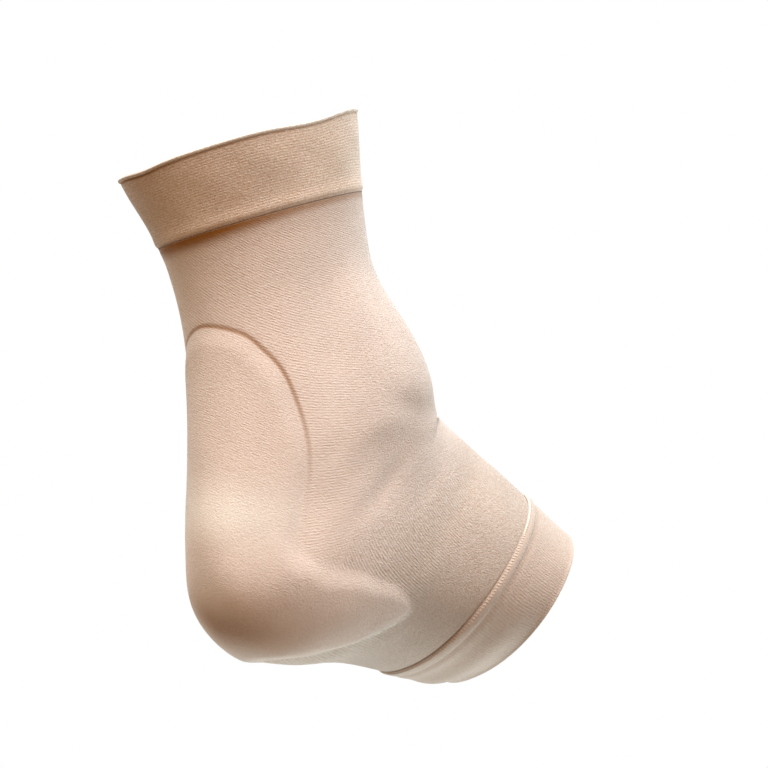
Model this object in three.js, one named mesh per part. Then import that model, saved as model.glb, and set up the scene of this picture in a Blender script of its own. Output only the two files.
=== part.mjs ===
// Gel achilles sleeve in its worn form: a knitted tube from the shin to the middle of the foot,
// with a doubled cuff, a sewn toe band and a gel pad inside, behind the tendon and round the heel.
// Millimetres, +Z up, +X to the toes, +Y to the outer side of a left foot.
// The origin is the middle of the ankle.

import * as THREE from 'three';

// Stance: how the shin leans back and the instep slopes down, and where the two meet in front
const SHIN_LEAN = 21;
const INSTEP_SLOPE = 35;
const CREASE_AHEAD = 54;
const CREASE_UP = 23;

// Lengths along the front of the sleeve, from the rim of the cuff to the rim of the toe band
const CUFF_TALL = 30;
const SHIN_TALL = 80;
const INSTEP_LONG = 53.5;
const BAND_WIDE = 25.5;

// Sections: front to back, and across
const CUFF_DEPTH = 92;
const CUFF_WIDTH = 84;
const WAIST_DEPTH = 78;
const WAIST_WIDTH = 68;
const HEEL_DEPTH = 126;
const HEEL_WIDTH = 72;
const TOE_DEPTH = 64;
const TOE_WIDTH = 82;

// Cloth: one layer of knit, how far the doubled cuff and band stand proud of it, and their edges
const KNIT_WALL = 1.2;
const CUFF_PROUD = 0.9;
const CUFF_ROLL = 0.5;
const BAND_PROUD = 0.6;
const SEAM_ROLL = 0.8;
const SEAM_ROLL_WIDE = 3.2;
const PLEAT_HIGH = 0.5;
const SEAM_GAP = 0.3;

// Gel pad: its thickness at the tendon, at the heel and at its edge, and how it shows outside
const PAD_TENDON_THICK = 2.4;
const PAD_HEEL_THICK = 4;
const PAD_EDGE_THICK = 0.9;
const PAD_EDGE_WIDE = 7;
const PAD_EDGE_SINK = 0.8;
const PAD_GAP = 0.3;
const PAD_SHOW = 0.45;

// Ankle bones: the height of the larger bump under the knit
const BONE_HIGH = 2.5;

// Fineness of the facets
const COLUMNS = 44;
const BODY_ROWS_PER_SECTION = 4;
const PAD_COLUMNS = 16;

const SIZES = {
  cuff: { depth: CUFF_DEPTH, half: CUFF_WIDTH / 2 },
  waist: { depth: WAIST_DEPTH, half: WAIST_WIDTH / 2 },
  heel: { depth: HEEL_DEPTH, half: HEEL_WIDTH / 2 },
  toe: { depth: TOE_DEPTH, half: TOE_WIDTH / 2 },
};

// One row for each section, from the cuff's rim to the toe band's rim. Each section's front lies on
// the shin (up, a share of SHIN_TALL, and cuff, of CUFF_TALL) or on the instep (ahead, a share of
// INSTEP_LONG, and band, of BAND_WIDE), set back by a share of the size's depth. depth is a share
// of the size's depth, inner and outer of half its width, and shift, of the front, of the same.
// tilt is the section's rise to the front and turn its outer side's swing forward, in degrees.
// innerLevel and outerLevel say how far back its widest places are, as shares of its depth, and
// front and back are the powers of its rounded halves: 2 is an ellipse, more is squarer.
const SECTIONS = [
  { size: 'cuff', up: 1, cuff: 1, setBack: 0.1, tilt: 23.5, depth: 1, inner: 1, outer: 1 },
  { size: 'cuff', up: 1, setBack: 0.152, tilt: 22, depth: 0.88, inner: 0.87, outer: 0.87 },
  { size: 'waist', up: 0.675, setBack: 0.205, tilt: 20, depth: 1, inner: 1, outer: 1 },
  { size: 'heel', up: 0.362, setBack: 0.087, tilt: 21, depth: 0.706, inner: 1, outer: 0.97, back: 1.9 },
  { size: 'heel', up: 0.112, setBack: 0.056, tilt: 26, depth: 0.822, inner: 1.083, outer: 1,
    innerLevel: 0.45, outerLevel: 0.52, back: 1.85 },
  { size: 'heel', ahead: 0.02, setBack: 0.048, tilt: 34, depth: 0.931, inner: 1.03, outer: 1,
    innerLevel: 0.45, outerLevel: 0.55, back: 1.95 },
  { size: 'heel', ahead: 0.093, setBack: 0.048, tilt: 42, depth: 1.002, inner: 0.99, outer: 0.97,
    outerLevel: 0.6, back: 2.3 },
  { size: 'heel', ahead: 0.224, setBack: 0.04, tilt: 48, depth: 0.995, inner: 0.96, outer: 0.94,
    innerLevel: 0.52, outerLevel: 0.62, back: 2.5 },
  { size: 'heel', ahead: 0.374, setBack: 0.032, tilt: 51.5, depth: 0.925, inner: 0.95, outer: 0.96,
    innerLevel: 0.52, outerLevel: 0.64, back: 2.4 },
  { size: 'heel', ahead: 0.542, setBack: 0.032, tilt: 53, depth: 0.833, inner: 0.98, outer: 1,
    outerLevel: 0.65, back: 2.2, turn: 3 },
  { size: 'toe', ahead: 0.729, setBack: 0.062, tilt: 54, depth: 1.484, inner: 0.9, outer: 0.92,
    shift: 0.02, outerLevel: 0.65, back: 2.2, turn: 8 },
  { size: 'toe', ahead: 1, setBack: 0.062, tilt: 55.3, depth: 1.32, inner: 0.955, outer: 0.95,
    shift: 0.03, outerLevel: 0.64, back: 2.2, turn: 12 },
  { size: 'toe', ahead: 1, band: 0.49, setBack: 0.062, tilt: 57.2, depth: 1.188, inner: 0.98,
    outer: 0.96, shift: 0.04, outerLevel: 0.63, back: 2.2, turn: 14 },
  { size: 'toe', ahead: 1, band: 1, setBack: 0.062, tilt: 59, depth: 1, inner: 1, outer: 0.98,
    shift: 0.05, outerLevel: 0.62, back: 2.2, turn: 15 },
];
const PLAIN_SECTION = {
  up: 0, cuff: 0, ahead: 0, band: 0, shift: 0, innerLevel: 0.5, outerLevel: 0.5, front: 2, back: 2, turn: 0,
};
const CUFF_RIM = 0;
const CUFF_SEAM = 1;
const BAND_SEAM = 11;
const BAND_RIM = 13;

// Bumps and hollows of the ankle: section and angle of the middle, half their spread in sections
// and in degrees, and height as a share of BONE_HIGH. Angles: 0 front, 90 outer, 180 back, 270 inner.
const BUMPS = [
  { name: 'inner ankle bone', section: 3.35, spread: 0.75, angle: 308, wide: 28, high: 0.8 },
  { name: 'outer ankle bone', section: 4.4, spread: 0.8, angle: 82, wide: 24, high: 1 },
  { name: 'waist over the inner bone', section: 2.2, spread: 0.7, angle: 320, wide: 40, high: -0.6 },
  { name: 'hollow behind the inner bone', section: 3.3, spread: 1.1, angle: 256, wide: 15, high: -0.4 },
  { name: 'hollow behind the outer bone', section: 3.6, spread: 1.1, angle: 112, wide: 15, high: -0.6 },
  { name: 'hollow under the inner bone', section: 5.2, spread: 1, angle: 275, wide: 16, high: -0.5 },
];

// Outline of the gel pad. Its sides: down is the share of the way from its top to its front edge
// under the heel, half the half angle that it covers there. Its front edge: the section that it
// reaches at each half angle, farther under the arch at the sides than in the middle.
const PAD_TOP = 2.36;
const PAD_SIDES = [
  { down: 0, half: 0 },
  { down: 0.035, half: 25 },
  { down: 0.085, half: 38 },
  { down: 0.15, half: 48 },
  { down: 0.3, half: 53 },
  { down: 0.42, half: 51 },
  { down: 0.5, half: 48.5 },
  { down: 0.58, half: 54 },
  { down: 0.66, half: 60.5 },
  { down: 0.8, half: 66 },
  { down: 1, half: 68 },
];
const PAD_FRONT = [
  { half: 0, reach: 7.3 },
  { half: 23, reach: 7.6 },
  { half: 36, reach: 8 },
  { half: 46, reach: 8.7 },
  { half: 53, reach: 8.88 },
  { half: 60, reach: 8.5 },
  { half: 68, reach: 7.5 },
];

// Small helpers
const radians = THREE.MathUtils.degToRad;
const lerp = THREE.MathUtils.lerp;
const smoothstep = (x, low, high) => THREE.MathUtils.smoothstep(x, low, high);
const steps = (count, first, last) =>
  Array.from({ length: count + 1 }, (_, index) => lerp(first, last, index / count));

// A smooth curve through evenly spaced values, straight-ended
function throughRows(values, place) {
  const last = values.length - 1;
  const index = Math.min(Math.floor(THREE.MathUtils.clamp(place, 0, last)), last - 1);
  const share = THREE.MathUtils.clamp(place, 0, last) - index;
  const before = index > 0 ? values[index - 1] : 2 * values[index] - values[index + 1];
  const after = index + 2 <= last ? values[index + 2] : 2 * values[index + 1] - values[index];
  const startSlope = (values[index + 1] - before) / 2;
  const endSlope = (after - values[index]) / 2;
  const square = share * share;
  const cube = square * share;
  return (
    (2 * cube - 3 * square + 1) * values[index] +
    (cube - 2 * square + share) * startSlope +
    (3 * square - 2 * cube) * values[index + 1] +
    (cube - square) * endSlope
  );
}

// A straight-sided curve through a table's rows, from one named column to another
function throughTable(table, from, to, place) {
  const clamped = THREE.MathUtils.clamp(place, table[0][from], table[table.length - 1][from]);
  const end = Math.max(1, table.findIndex((row) => row[from] >= clamped));
  const low = table[end - 1];
  const high = table[end];
  return lerp(low[to], high[to], (clamped - low[from]) / (high[from] - low[from]));
}

// Sections in millimetres, as one list for each column
const sections = SECTIONS.map((row) => {
  const section = { ...PLAIN_SECTION, ...row };
  const size = SIZES[section.size];
  return {
    up: section.up * SHIN_TALL + section.cuff * CUFF_TALL,
    ahead: section.ahead * INSTEP_LONG + section.band * BAND_WIDE,
    setBack: section.setBack * size.depth,
    tilt: section.tilt,
    depth: section.depth * size.depth,
    inner: section.inner * size.half,
    outer: section.outer * size.half,
    shift: section.shift * size.half,
    innerLevel: section.innerLevel,
    outerLevel: section.outerLevel,
    front: section.front,
    back: section.back,
    turn: section.turn,
  };
});
const columns = Object.fromEntries(
  Object.keys(sections[0]).map((name) => [name, sections.map((section) => section[name])]),
);
const sectionAt = (place) =>
  Object.fromEntries(Object.entries(columns).map(([name, values]) => [name, throughRows(values, place)]));

const crease = new THREE.Vector3(CREASE_AHEAD, 0, CREASE_UP);
const upShin = new THREE.Vector3(-Math.sin(radians(SHIN_LEAN)), 0, Math.cos(radians(SHIN_LEAN)));
const downInstep = new THREE.Vector3(Math.cos(radians(INSTEP_SLOPE)), 0, -Math.sin(radians(INSTEP_SLOPE)));
const outward = new THREE.Vector3(0, 1, 0);

// A point of the smooth form at a section and an angle round it
function formPoint(place, angle) {
  const section = sectionAt(place);
  const tilt = radians(section.tilt);
  const toFront = new THREE.Vector3(Math.cos(tilt), 0, Math.sin(tilt));
  const ahead = new THREE.Vector3(Math.sin(tilt), 0, -Math.cos(tilt));
  const turn = radians(section.turn);
  const across = outward.clone().multiplyScalar(Math.cos(turn)).addScaledVector(ahead, Math.sin(turn));

  const cosine = Math.cos(radians(angle));
  const sine = Math.sin(radians(angle));
  const isOuter = sine >= 0;
  const isFront = cosine >= 0;
  const side = isOuter ? 1 : -1;
  const level = section.depth * (isOuter ? section.outerLevel : section.innerLevel);
  const reach = isFront ? level : section.depth - level;
  const power = isFront ? section.front : section.back;
  const shift = isFront ? -section.shift : 0;
  const halfWidth = (isOuter ? section.outer : section.inner) - side * shift;
  const scale = (Math.abs(cosine) ** power + Math.abs(sine) ** power) ** (-1 / power);

  return crease
    .clone()
    .addScaledVector(upShin, section.up)
    .addScaledVector(downInstep, section.ahead)
    .addScaledVector(toFront, -section.setBack - level + Math.sign(cosine) * reach * Math.abs(cosine) * scale)
    .addScaledVector(across, side * halfWidth * Math.abs(sine) * scale + shift);
}

// The form's outward direction there
function formNormal(place, angle) {
  const nudge = 0.001;
  const down = formPoint(place + nudge, angle).sub(formPoint(place - nudge, angle));
  const round = formPoint(place, angle + nudge).sub(formPoint(place, angle - nudge));
  return down.cross(round).normalize();
}

const fromBack = (angle) => Math.abs(THREE.MathUtils.euclideanModulo(angle, 360) - 180);
const angleBetween = (first, second) => THREE.MathUtils.euclideanModulo(first - second + 180, 360) - 180;

function bumpHeight(place, angle) {
  return BUMPS.reduce((sum, bump) => {
    const along = (place - bump.section) / bump.spread;
    const round = angleBetween(angle, bump.angle) / bump.wide;
    return sum + bump.high * BONE_HIGH * Math.exp(-along * along - round * round);
  }, 0);
}

// The gel pad's outline and thickness, and how it raises the knit over it
const padReach = (half) => throughTable(PAD_FRONT, 'half', 'reach', half);
const padHalf = (down) => throughTable(PAD_SIDES, 'down', 'half', down);
const padThickness = (down) => lerp(PAD_TENDON_THICK, PAD_HEEL_THICK, smoothstep(down, 0.2, 0.7));
const padWidest = PAD_SIDES.findIndex((row, index) => row.half > PAD_SIDES[index + 1].half);
const padShoulder = PAD_SIDES.slice(0, padWidest + 1);
const padDown = (place, half) => (place - PAD_TOP) / (padReach(half) - PAD_TOP);
const padPlace = (down, half) => lerp(PAD_TOP, padReach(half), down);

// How far inside the pad's outline a place of the form lies, and 0 outside it: the distances to
// its side, to its rounded top and to its front edge, taken together as to a slanted border
function padInside(place, angle) {
  const half = fromBack(angle);
  const down = padDown(place, half);
  const topDown = throughTable(padShoulder, 'half', 'down', half);
  const beside = ((padHalf(down) - half) * Math.PI * HEEL_WIDTH) / 360;
  const isUnderTop = half >= padShoulder.at(-1).half || down > topDown;
  if (down < 0 || down >= 1 || beside <= 0 || !isUnderTop) {
    return 0;
  }
  const here = formPoint(place, angle);
  const below = half < padShoulder.at(-1).half
    ? here.distanceTo(formPoint(padPlace(topDown, half), angle))
    : Infinity;
  const behind = here.distanceTo(formPoint(padReach(half), angle));
  return 1 / Math.hypot(1 / beside, 1 / below, 1 / behind);
}

const padRelief = (place, angle, edgeWide) =>
  PAD_SHOW * padThickness(padDown(place, fromBack(angle))) * smoothstep(padInside(place, angle), 0, edgeWide);

// The outer face of the single knit, and a point at a height over it
const knitHeight = (place, angle) => bumpHeight(place, angle) + padRelief(place, angle, PAD_EDGE_WIDE / 2);
const overForm = (place, angle, height) =>
  formPoint(place, angle).addScaledVector(formNormal(place, angle), height);
const overKnit = (place, angle, height) => overForm(place, angle, knitHeight(place, angle) + height);

// Soft pleats of the toe band under the sole, along the band
const pleatHeight = (place, angle) =>
  PLEAT_HIGH * Math.exp(-((fromBack(angle) / 40) ** 2)) * Math.sin(Math.PI * 2 * (place - BAND_SEAM));

function solidMesh(name, points, triangles, material) {
  const geometry = new THREE.BufferGeometry().setFromPoints(points);
  geometry.setIndex(triangles);
  geometry.computeVertexNormals();
  const mesh = new THREE.Mesh(geometry, material);
  mesh.name = name;
  return mesh;
}

// A tube with a wall: rings follow each other down the outer face and back up the inner one
function tubeSolid(name, rings, material) {
  const points = rings.flatMap((ring) =>
    Array.from({ length: COLUMNS }, (_, column) => {
      const angle = (360 * column) / COLUMNS;
      return overKnit(ring.place, angle, ring.height + (ring.wave ? ring.wave(ring.place, angle) : 0));
    }),
  );
  const vertex = (ring, column) => (ring % rings.length) * COLUMNS + (column % COLUMNS);
  const triangles = rings.flatMap((_, ring) =>
    Array.from({ length: COLUMNS }, (_unused, column) => [
      vertex(ring, column), vertex(ring + 1, column), vertex(ring + 1, column + 1),
      vertex(ring, column), vertex(ring + 1, column + 1), vertex(ring, column + 1),
    ]).flat(),
  );
  return solidMesh(name, points, triangles, material);
}

function sleeveBody(material) {
  const places = steps((BAND_SEAM - CUFF_SEAM) * BODY_ROWS_PER_SECTION, CUFF_SEAM, BAND_SEAM);
  const outer = places.map((place) => ({ place, height: 0 }));
  const inner = places.map((place) => ({ place, height: -KNIT_WALL })).reverse();
  return tubeSolid('sleeve_body', [...outer, ...inner], material);
}

// The cuff's places are shares of its height; it stops one seam gap over the body
function topCuff(material) {
  const low = CUFF_SEAM - SEAM_GAP / CUFF_TALL;
  const rollTall = (2 * CUFF_ROLL + CUFF_PROUD) / CUFF_TALL;
  const outer = [
    { place: CUFF_RIM, height: (CUFF_PROUD - KNIT_WALL) / 2 + CUFF_ROLL },
    { place: CUFF_RIM + rollTall / 3, height: CUFF_PROUD + CUFF_ROLL },
    { place: CUFF_RIM + rollTall, height: CUFF_PROUD },
    ...steps(4, CUFF_RIM + 2 * rollTall, low - rollTall / 2).map((place) => ({ place, height: CUFF_PROUD })),
    { place: low, height: CUFF_PROUD / 2 },
  ];
  const inner = steps(5, low, CUFF_RIM + rollTall / 3).map((place) => ({ place, height: -KNIT_WALL }));
  return tubeSolid('top_cuff', [...outer, ...inner], material);
}

// The toe band starts one seam gap after the body, with the roll of its seam first
function toeBand(material) {
  const rowsPerMillimetre = (BAND_RIM - BAND_SEAM) / BAND_WIDE;
  const start = BAND_SEAM + SEAM_GAP * rowsPerMillimetre;
  const rollEnd = start + SEAM_ROLL_WIDE * rowsPerMillimetre;
  const edge = BAND_RIM - BAND_PROUD * rowsPerMillimetre;
  const crest = BAND_PROUD + SEAM_ROLL;
  const outer = [
    { place: start, height: BAND_PROUD / 2 },
    { place: lerp(start, rollEnd, 0.25), height: crest },
    { place: lerp(start, rollEnd, 0.6), height: crest },
    ...steps(8, rollEnd, edge).map((place) => ({ place, height: BAND_PROUD, wave: pleatHeight })),
    { place: BAND_RIM, height: (BAND_PROUD - KNIT_WALL) / 2 },
  ];
  const inner = steps(5, edge, start).map((place) => ({ place, height: -KNIT_WALL }));
  return tubeSolid('toe_band', [...outer, ...inner], material);
}

// The gel pad: a patch from one point at its top to its front edge, thin at its rim. Both faces
// hold the same rows of points, and a wall joins their borders.
function gelPad(material) {
  const downs = PAD_SIDES.flatMap((row, index) =>
    index === 0 ? [] : steps(2, PAD_SIDES[index - 1].down, row.down).slice(1),
  );
  const shares = steps(PAD_COLUMNS, -1, 1);
  const facePoint = (down, share, isInner) => {
    const angle = 180 + share * padHalf(down);
    const place = padPlace(down, fromBack(angle));
    const full = smoothstep(padInside(place, angle), 0, PAD_EDGE_WIDE);
    const thickness = lerp(PAD_EDGE_THICK, padThickness(down), full);
    const raised = bumpHeight(place, angle) + padRelief(place, angle, PAD_EDGE_WIDE);
    const sunk = KNIT_WALL + PAD_GAP + (1 - full) * PAD_EDGE_SINK + (isInner ? thickness : 0);
    return overForm(place, angle, raised - sunk);
  };
  const facePoints = (isInner) => [
    facePoint(0, 0, isInner),
    ...downs.flatMap((down) => shares.map((share) => facePoint(down, share, isInner))),
  ];
  const points = [...facePoints(false), ...facePoints(true)];
  const perFace = points.length / 2;
  const perRow = shares.length;
  const vertex = (row, column) => 1 + row * perRow + column;
  const lastRow = downs.length - 1;

  const columnStarts = steps(PAD_COLUMNS - 1, 0, PAD_COLUMNS - 1);
  const cap = columnStarts.flatMap((column) => [0, vertex(0, column), vertex(0, column + 1)]);
  const sheet = steps(lastRow - 1, 0, lastRow - 1).flatMap((row) =>
    columnStarts.flatMap((column) => [
      vertex(row, column), vertex(row + 1, column), vertex(row + 1, column + 1),
      vertex(row, column), vertex(row + 1, column + 1), vertex(row, column + 1),
    ]),
  );
  const outerFace = [...cap, ...sheet];
  const innerFace = outerFace.map((index) => index + perFace).reverse();

  const rows = steps(lastRow, 0, lastRow);
  const border = [
    0,
    ...rows.map((row) => vertex(row, 0)),
    ...steps(PAD_COLUMNS - 1, 1, PAD_COLUMNS).map((column) => vertex(lastRow, column)),
    ...rows.slice(0, -1).reverse().map((row) => vertex(row, PAD_COLUMNS)),
  ];
  const wall = border.flatMap((from, index) => {
    const to = border[(index + 1) % border.length];
    return [to, from, from + perFace, to, from + perFace, to + perFace];
  });
  return solidMesh('gel_pad', points, [...outerFace, ...innerFace, ...wall], material);
}

const knit = new THREE.MeshStandardMaterial({ color: 0xdcc0aa, roughness: 0.95, metalness: 0 });
const doubledKnit = new THREE.MeshStandardMaterial({ color: 0xd2b199, roughness: 0.95, metalness: 0 });
const ribbedKnit = new THREE.MeshStandardMaterial({ color: 0xd9bfad, roughness: 0.95, metalness: 0 });
const gel = new THREE.MeshStandardMaterial({ color: 0xe8cfa6, roughness: 0.35, metalness: 0 });

const group = new THREE.Group();
group.add(sleeveBody(knit), topCuff(doubledKnit), toeBand(ribbedKnit), gelPad(gel));

export default group;
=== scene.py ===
"""Looks of a gel achilles sleeve in its worn form: knitted body, doubled cuff, sewn toe band and gel pad.

Leg, instep, heel, foot and sole are the knit's own parts, named as a sock's are.
"""

import logging
from dataclasses import dataclass
from enum import Enum
from typing import Any, Mapping, Sequence

import bpy
import numpy as np
from mathutils import Matrix, Vector


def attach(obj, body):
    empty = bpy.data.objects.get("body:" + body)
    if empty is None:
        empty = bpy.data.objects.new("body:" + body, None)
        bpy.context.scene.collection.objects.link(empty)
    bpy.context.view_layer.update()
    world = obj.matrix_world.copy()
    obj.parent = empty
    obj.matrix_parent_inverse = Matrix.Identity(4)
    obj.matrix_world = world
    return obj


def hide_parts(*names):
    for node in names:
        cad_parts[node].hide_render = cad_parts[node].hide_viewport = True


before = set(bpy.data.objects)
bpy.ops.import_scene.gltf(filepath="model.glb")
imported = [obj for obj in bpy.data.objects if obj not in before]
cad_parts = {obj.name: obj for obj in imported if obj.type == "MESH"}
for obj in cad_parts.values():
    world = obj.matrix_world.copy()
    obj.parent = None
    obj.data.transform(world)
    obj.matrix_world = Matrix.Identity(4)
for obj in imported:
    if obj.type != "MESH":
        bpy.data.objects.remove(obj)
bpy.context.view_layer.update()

log = logging.getLogger("sleeve")

MM = 0.001
PICTURE_WIDE = 768


def linear(colour: str) -> tuple[float, float, float, float]:
    """Turns an sRGB hex colour, #rrggbb, to the linear values that a shader takes, with an alpha of 1."""
    parts = np.array([int(colour[at : at + 2], 16) for at in (1, 3, 5)]) / 255
    light = np.where(parts <= 0.04045, parts / 12.92, ((parts + 0.055) / 1.055) ** 2.4)
    return (*(float(part) for part in light), 1.0)


def smoothstep(values: np.ndarray, low: float, high: float) -> np.ndarray:
    """Rises smoothly from 0 at low to 1 at high, or falls if high is lower: 3x^2 - 2x^3 of the share x."""
    share = np.clip((np.asarray(values, float) - low) / (high - low), 0, 1)
    return share * share * (3 - 2 * share)


def hump(values: np.ndarray, middle: float, spread: float) -> np.ndarray:
    """A bell of height 1: exp(-((values - middle) / spread)^2)."""
    return np.exp(-(((np.asarray(values, float) - middle) / spread) ** 2))


def through_rows(rows: np.ndarray, place: np.ndarray) -> np.ndarray:
    """Follows a smooth curve through evenly spaced rows, straight-ended.

    Between two rows it is the cubic whose slopes at them are half the difference of their neighbours.

    Args:
        rows: One row of values for each whole place.
        place: Where on the curve, from 0 to the last row's number.

    Returns:
        The rows' values there, along a new last axis.
    """
    last = len(rows) - 1
    held = np.clip(place, 0, last)
    index = np.minimum(np.floor(held).astype(int), last - 1)
    share = (held - index)[..., None]
    ends = np.vstack([2 * rows[0] - rows[1], rows, 2 * rows[-1] - rows[-2]])
    before, here, there, after = (ends[index + step] for step in range(4))
    square, cube = share**2, share**3
    return (
        (2 * cube - 3 * square + 1) * here
        + (cube - 2 * square + share) * (there - before) / 2
        + (3 * square - 2 * cube) * there
        + (cube - square) * (after - here) / 2
    )


def round_bead(values: np.ndarray, middle: float, half: float) -> np.ndarray:
    """A half circle of height 1: the root of 1 - ((values - middle) / half)^2, and 0 outside."""
    return np.sqrt(np.clip(1 - ((values - middle) / half) ** 2, 0, 1))


def side_by_side(*parts: np.ndarray | float) -> np.ndarray:
    """Sets values beside each other on a new last axis, with single numbers spread over the arrays."""
    return np.stack(np.broadcast_arrays(*parts), axis=-1)


def from_front(angle: np.ndarray) -> np.ndarray:
    """Turns angles to the range from -180 to 180 degrees, with 0 at the front."""
    return (np.asarray(angle, float) + 180) % 360 - 180


def from_back(angle: np.ndarray) -> np.ndarray:
    """Measures how far an angle is from the middle of the back, in degrees."""
    return np.abs(np.asarray(angle, float) % 360 - 180)


def from_inner(angle: np.ndarray) -> np.ndarray:
    """Measures how far an angle is from the middle of the inner side, in degrees."""
    return np.abs((np.asarray(angle, float) - 90) % 360 - 180)


def behind(angle: np.ndarray) -> np.ndarray:
    """Gives a share that is about 1 at the back and falls off to both sides."""
    return hump(from_back(angle), 10, 55)


def inner_sole(angle: np.ndarray, wide: float, narrow: float) -> np.ndarray:
    """Gives a share that falls from 1 at the sole's inner edge to 0 between two angles from it."""
    return smoothstep(np.abs(angle - 215), wide, narrow)


@dataclass(frozen=True)
class Size:
    """A size that several sections share: depth from front to back, and half the width, in millimetres."""

    depth: float
    half: float


CUFF_SIZE = Size(92, 42)
WAIST_SIZE = Size(78, 34)
HEEL_SIZE = Size(126, 36)
TOE_SIZE = Size(64, 41)


@dataclass(frozen=True)
class Section:
    """One section of the worn form, as shares of its size and of the lengths along the front.

    up and cuff place its front on the leg, ahead and band on the instep, and set_back behind that. depth,
    inner, outer and shift are shares of the size, tilt its rise to the front and turn its outer side's swing
    forward in degrees, the levels how far back its widest places are, and front and back the powers of its
    rounded halves, where 2 is an ellipse and more is squarer.
    """

    size: Size
    up: float = 0.0
    cuff: float = 0.0
    ahead: float = 0.0
    band: float = 0.0
    set_back: float = 0.0
    tilt: float = 0.0
    depth: float = 1.0
    inner: float = 1.0
    outer: float = 1.0
    shift: float = 0.0
    inner_level: float = 0.5
    outer_level: float = 0.5
    front: float = 2.0
    back: float = 2.0
    turn: float = 0.0


SECTIONS = (
    Section(CUFF_SIZE, up=1, cuff=1, set_back=0.1, tilt=23.5),
    Section(CUFF_SIZE, up=1, set_back=0.152, tilt=22, depth=0.88, inner=0.87, outer=0.87),
    Section(WAIST_SIZE, up=0.675, set_back=0.205, tilt=20),
    Section(HEEL_SIZE, up=0.362, set_back=0.087, tilt=21, depth=0.706, outer=0.97, back=1.9),
    Section(HEEL_SIZE, up=0.112, set_back=0.056, tilt=26, depth=0.822, inner=1.083, inner_level=0.45,
            outer_level=0.52, back=1.85),
    Section(HEEL_SIZE, ahead=0.02, set_back=0.048, tilt=34, depth=0.931, inner=1.03, inner_level=0.45,
            outer_level=0.55, back=1.95),
    Section(HEEL_SIZE, ahead=0.093, set_back=0.048, tilt=42, depth=1.002, inner=0.99, outer=0.97,
            outer_level=0.6, back=2.3),
    Section(HEEL_SIZE, ahead=0.224, set_back=0.04, tilt=48, depth=0.995, inner=0.96, outer=0.94,
            inner_level=0.52, outer_level=0.62, back=2.5),
    Section(HEEL_SIZE, ahead=0.374, set_back=0.032, tilt=51.5, depth=0.925, inner=0.95, outer=0.96,
            inner_level=0.52, outer_level=0.64, back=2.4),
    Section(HEEL_SIZE, ahead=0.542, set_back=0.032, tilt=53, depth=0.833, inner=0.98, outer_level=0.65,
            back=2.2, turn=3),
    Section(TOE_SIZE, ahead=0.729, set_back=0.062, tilt=54, depth=1.484, inner=0.9, outer=0.92, shift=0.02,
            outer_level=0.65, back=2.2, turn=8),
    Section(TOE_SIZE, ahead=1, set_back=0.062, tilt=55.3, depth=1.32, inner=0.955, outer=0.95, shift=0.03,
            outer_level=0.64, back=2.2, turn=12),
    Section(TOE_SIZE, ahead=1, band=0.49, set_back=0.062, tilt=57.2, depth=1.188, inner=0.98, outer=0.96,
            shift=0.04, outer_level=0.63, back=2.2, turn=14),
    Section(TOE_SIZE, ahead=1, band=1, set_back=0.062, tilt=59, outer=0.98, shift=0.05, outer_level=0.62,
            back=2.2, turn=15),
)
CUFF_RIM, CUFF_SEAM, BAND_SEAM, BAND_RIM = 0, 1, 11, 13
# What the cuff and the band hold as their distance inside the pad's outline, in millimetres
FAR_OUTSIDE = -50.0


@dataclass(frozen=True)
class Bump:
    """A bump or hollow of the form: its section and angle, half its spread in both, and its height in mm."""

    section: float
    spread: float
    angle: float
    wide: float
    high: float


@dataclass(frozen=True)
class Fold:
    """A soft fold of the stretched knit: its middle to the right and up, its slant, half sizes and height.

    All are in millimetres, and the slant in degrees, seen along the thread lay's axis.
    """

    right: float
    up: float
    slant: float
    long: float
    wide: float
    high: float


@dataclass(frozen=True)
class Crease:
    """The short crease where leg and instep meet: a ridge beside a dip, in a bell along its sections.

    It crosses one section at its angle and turns by some degrees in each. The ridge and the dip hold their
    height, how far they lie across the crease, and half their width, in millimetres.
    """

    section: float = 5.7
    spread: float = 0.28
    crosses: float = 5.85
    angle: float = -27.0
    turns: float = 25.0
    degree_wide: float = 0.55
    ridge: tuple[float, float, float] = (0.5, -1.2, 1.1)
    dip: tuple[float, float, float] = (-0.7, 0.9, 0.9)

    def height(self, place: np.ndarray, angle: np.ndarray) -> np.ndarray:
        """Gives the crease's height over the form in millimetres."""
        turned = from_front(angle) - self.angle + self.turns * (self.crosses - place)
        across = turned * self.degree_wide
        sides = sum(high * hump(across, off, wide) for high, off, wide in (self.ridge, self.dip))
        return hump(place, self.section, self.spread) * sides


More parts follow.
